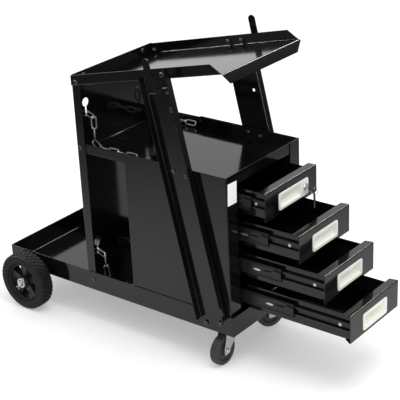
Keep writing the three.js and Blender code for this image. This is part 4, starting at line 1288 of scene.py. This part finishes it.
sheet_1, web_face, hook_face = 1.5 * mm, web_outer, hook_inner + hook_sheet
tray_inside, shelf_inside = tray_half - sheet_1, shelf_high[0] - sheet_1
panel_inside, base_inside = back_high[0] - sheet_1, half - sheet_1
tray_bolt = top_hole - 3 * mm
bolts = through_bolt(hook_face, tray_inside, hole_across + 2 * mm, tray_bolt, post_foot)
bolts += through_bolt(web_face, tray_inside, -hole_across, tray_bolt, post_foot)
bolts += through_bolt(web_face, web_inner, hole_across, top_hole - 2 * hole_pitch, post_foot)
for y, z in ((155.5, 483), (119.4, 478.6)):
    bolts += through_bolt(web_face, shelf_inside, behind(y), z * mm)
for y, z in ((80.7, 111), (38.8, 121)):
    bolts += through_bolt(web_face, base_inside, behind(y), z * mm)
bolts += through_bolt(half, panel_inside, behind(439.5), 121.4 * mm)
bolts += through_bolt(back_high[0], shelf_inside, behind(445.7), 479 * mm)
bolts += through_bolt(tray_half, panel_inside, behind(441.6), 646.9 * mm)
right_bolts = weld(bolts, "right_bolts")
left_bolts = copy_of(right_bolts, "left_bolts", mirror)
# The left post's second hole is bolted too, and the right one's is left open
extra = through_bolt(web_face, web_inner, hole_across, top_hole - hole_pitch, post_foot)
extra = copy_of(weld(extra, "extra_bolt"), "second_hole_bolt", mirror)
bpy.data.objects.remove(bpy.data.objects["extra_bolt"])
left_bolts = weld([left_bolts, extra], "left_bolts")
for side_bolts in (right_bolts, left_bolts):
    settle(side_bolts, black_bolt, "black_slide", "frame")

# Two more hold the tray's rear lip to the back panel
rear_bolts = []
rear_bolt_x, rear_bolt_z = 110 * mm, 652 * mm
for x in (-rear_bolt_x, rear_bolt_x):
    head_at = Matrix.Translation((x, back_front - 2.2 * mm, rear_bolt_z))
    nut_at = Matrix.Translation((x, back_high[1], rear_bolt_z))
    rear_bolts.append(copy_of(bolt_head, "rear_bolt", head_at @ Matrix.Rotation(pi / 2, 4, "X")))
    rear_bolts.append(copy_of(bolt_nut, "rear_nut", nut_at @ Matrix.Rotation(-pi / 2, 4, "X")))
settle(weld(rear_bolts, "rear_bolts"), black_bolt, "black_slide", "frame")
bpy.data.objects.remove(bolt_head)
bpy.data.objects.remove(bolt_nut)

# The studio: a pale floor, white light from all round, less from the front right and the rear left, as mirrored,
# soft panels that draw bright lines on its folds, one above, and a camera at the front left, above the tray.
scene.view_settings.view_transform = "Standard"
camera = bpy.data.objects.new("studio_camera", bpy.data.cameras.new("studio_camera"))
scene.collection.objects.link(camera)
scene.camera = camera
camera.location = (-2.1784, -1.7695, 1.5812)
aim = Vector((0.0276, 0.0042, 0.3269)) - camera.location
turn = aim.to_track_quat("-Z", "Y") @ Quaternion((0, 0, 1), radians(-2.76))
camera.rotation_euler = turn.to_euler()
camera.data.sensor_width = 36
camera.data.lens = 113.03
camera.data.clip_end = 60

# The floor is the same pale tone all over to the camera, but in the gloss sheet's reflections it is painted darker
# the further it lies from the cart: a painted shade on the mirrored floor
bpy.ops.object.select_all(action="DESELECT")
bpy.ops.mesh.primitive_plane_add(size=30)
floor = bpy.context.object
floor.name = "studio_floor"
pale, shader, place = start_finish("pale_floor")
shader.inputs["Base Color"].default_value = (0.8, 0.8, 0.8, 1)
shader.inputs["Emission Color"].default_value = (1, 1, 1, 1)
shader.inputs["Emission Strength"].default_value = 0.3
shader.inputs["Roughness"].default_value = 0.9
shader.inputs["Specular IOR Level"].default_value = 0
tree = pale.node_tree
away = place.node("ShaderNodeVectorMath", {"operation": "LENGTH"}, {0: place}, out="Value")
painted_reflection_fade = away.node(
    "ShaderNodeMapRange",
    {"interpolation_type": "SMOOTHSTEP"},
    {"Value": away, "From Min": 0.45, "From Max": 2, "To Min": 0.28, "To Max": 0.9},
)
# Painted shade in reflections: glossy rays see the floor blended towards a black emission, more with distance from
# the cart
mirrored = Wire(tree, tree.nodes.new("ShaderNodeLightPath").outputs["Is Glossy Ray"])
painted_dark = tree.nodes.new("ShaderNodeEmission")
painted_dark.inputs["Strength"].default_value = 0
blend = tree.nodes.new("ShaderNodeMixShader")
tree.links.new(blend.inputs[0], (mirrored * painted_reflection_fade).socket)
tree.links.new(blend.inputs[1], shader.outputs[0])
tree.links.new(blend.inputs[2], painted_dark.outputs[0])
tree.links.new(tree.nodes["Material Output"].inputs["Surface"], blend.outputs[0])
floor.data.materials.append(pale)


def soft_panel(name, place, target, width, height, power):
    """A rectangular panel of light at a place, facing a target."""
    light = bpy.data.lights.new(name, "AREA")
    light.shape = "RECTANGLE"
    light.size = width
    light.size_y = height
    light.energy = power
    panel = bpy.data.objects.new(name, light)
    scene.collection.objects.link(panel)
    panel.location = place
    panel.rotation_euler = (Vector(target) - Vector(place)).to_track_quat("-Z", "Y").to_euler()
    panel.visible_camera = False
    return panel


middle = (0, 0, 0.35)
fold_panels = [
    soft_panel("right_panel_light", (2.05, -0.2, 2.4), middle, 0.3, 0.8, 30),
    soft_panel("rear_panel_light", (0.02, 2.15, 2.3), middle, 0.5, 1.5, 80),
    soft_panel("front_panel_light", (-0.7, -2.7, 0.9), middle, 0.3, 1.2, 20),
]
for panel in fold_panels:
    panel.visible_diffuse = False
top_panel = soft_panel("top_panel_light", (-0.3, -1, 2.7), middle, 1.4, 1.4, 28)
top_panel.visible_glossy = False
world = bpy.data.worlds.new("studio_air")
world.use_nodes = True
sky = world.node_tree
toward = Wire(sky, sky.nodes.new("ShaderNodeTexCoord").outputs["Generated"])


def dimmed(direction, starts, ends, least):
    """The share of the even light left near a direction, where the angle's cosine goes from starts to ends."""
    sockets = {0: toward, 1: direction}
    cosine = toward.node("ShaderNodeVectorMath", {"operation": "DOT_PRODUCT"}, sockets, out="Value")
    return cosine.node(
        "ShaderNodeMapRange",
        {"interpolation_type": "SMOOTHSTEP"},
        {"Value": cosine, "From Min": starts, "From Max": ends, "To Min": 1, "To Max": least},
    )


evenness = dimmed((0.71, -0.7, 0), 0.7, 0.95, 0.25) * dimmed((-0.71, 0.57, 0.41), 0.82, 0.97, 0.3)
sky.links.new(sky.nodes["Background"].inputs["Color"], evenness.socket)
sky.nodes["Background"].inputs["Strength"].default_value = 1.02
scene.world = world
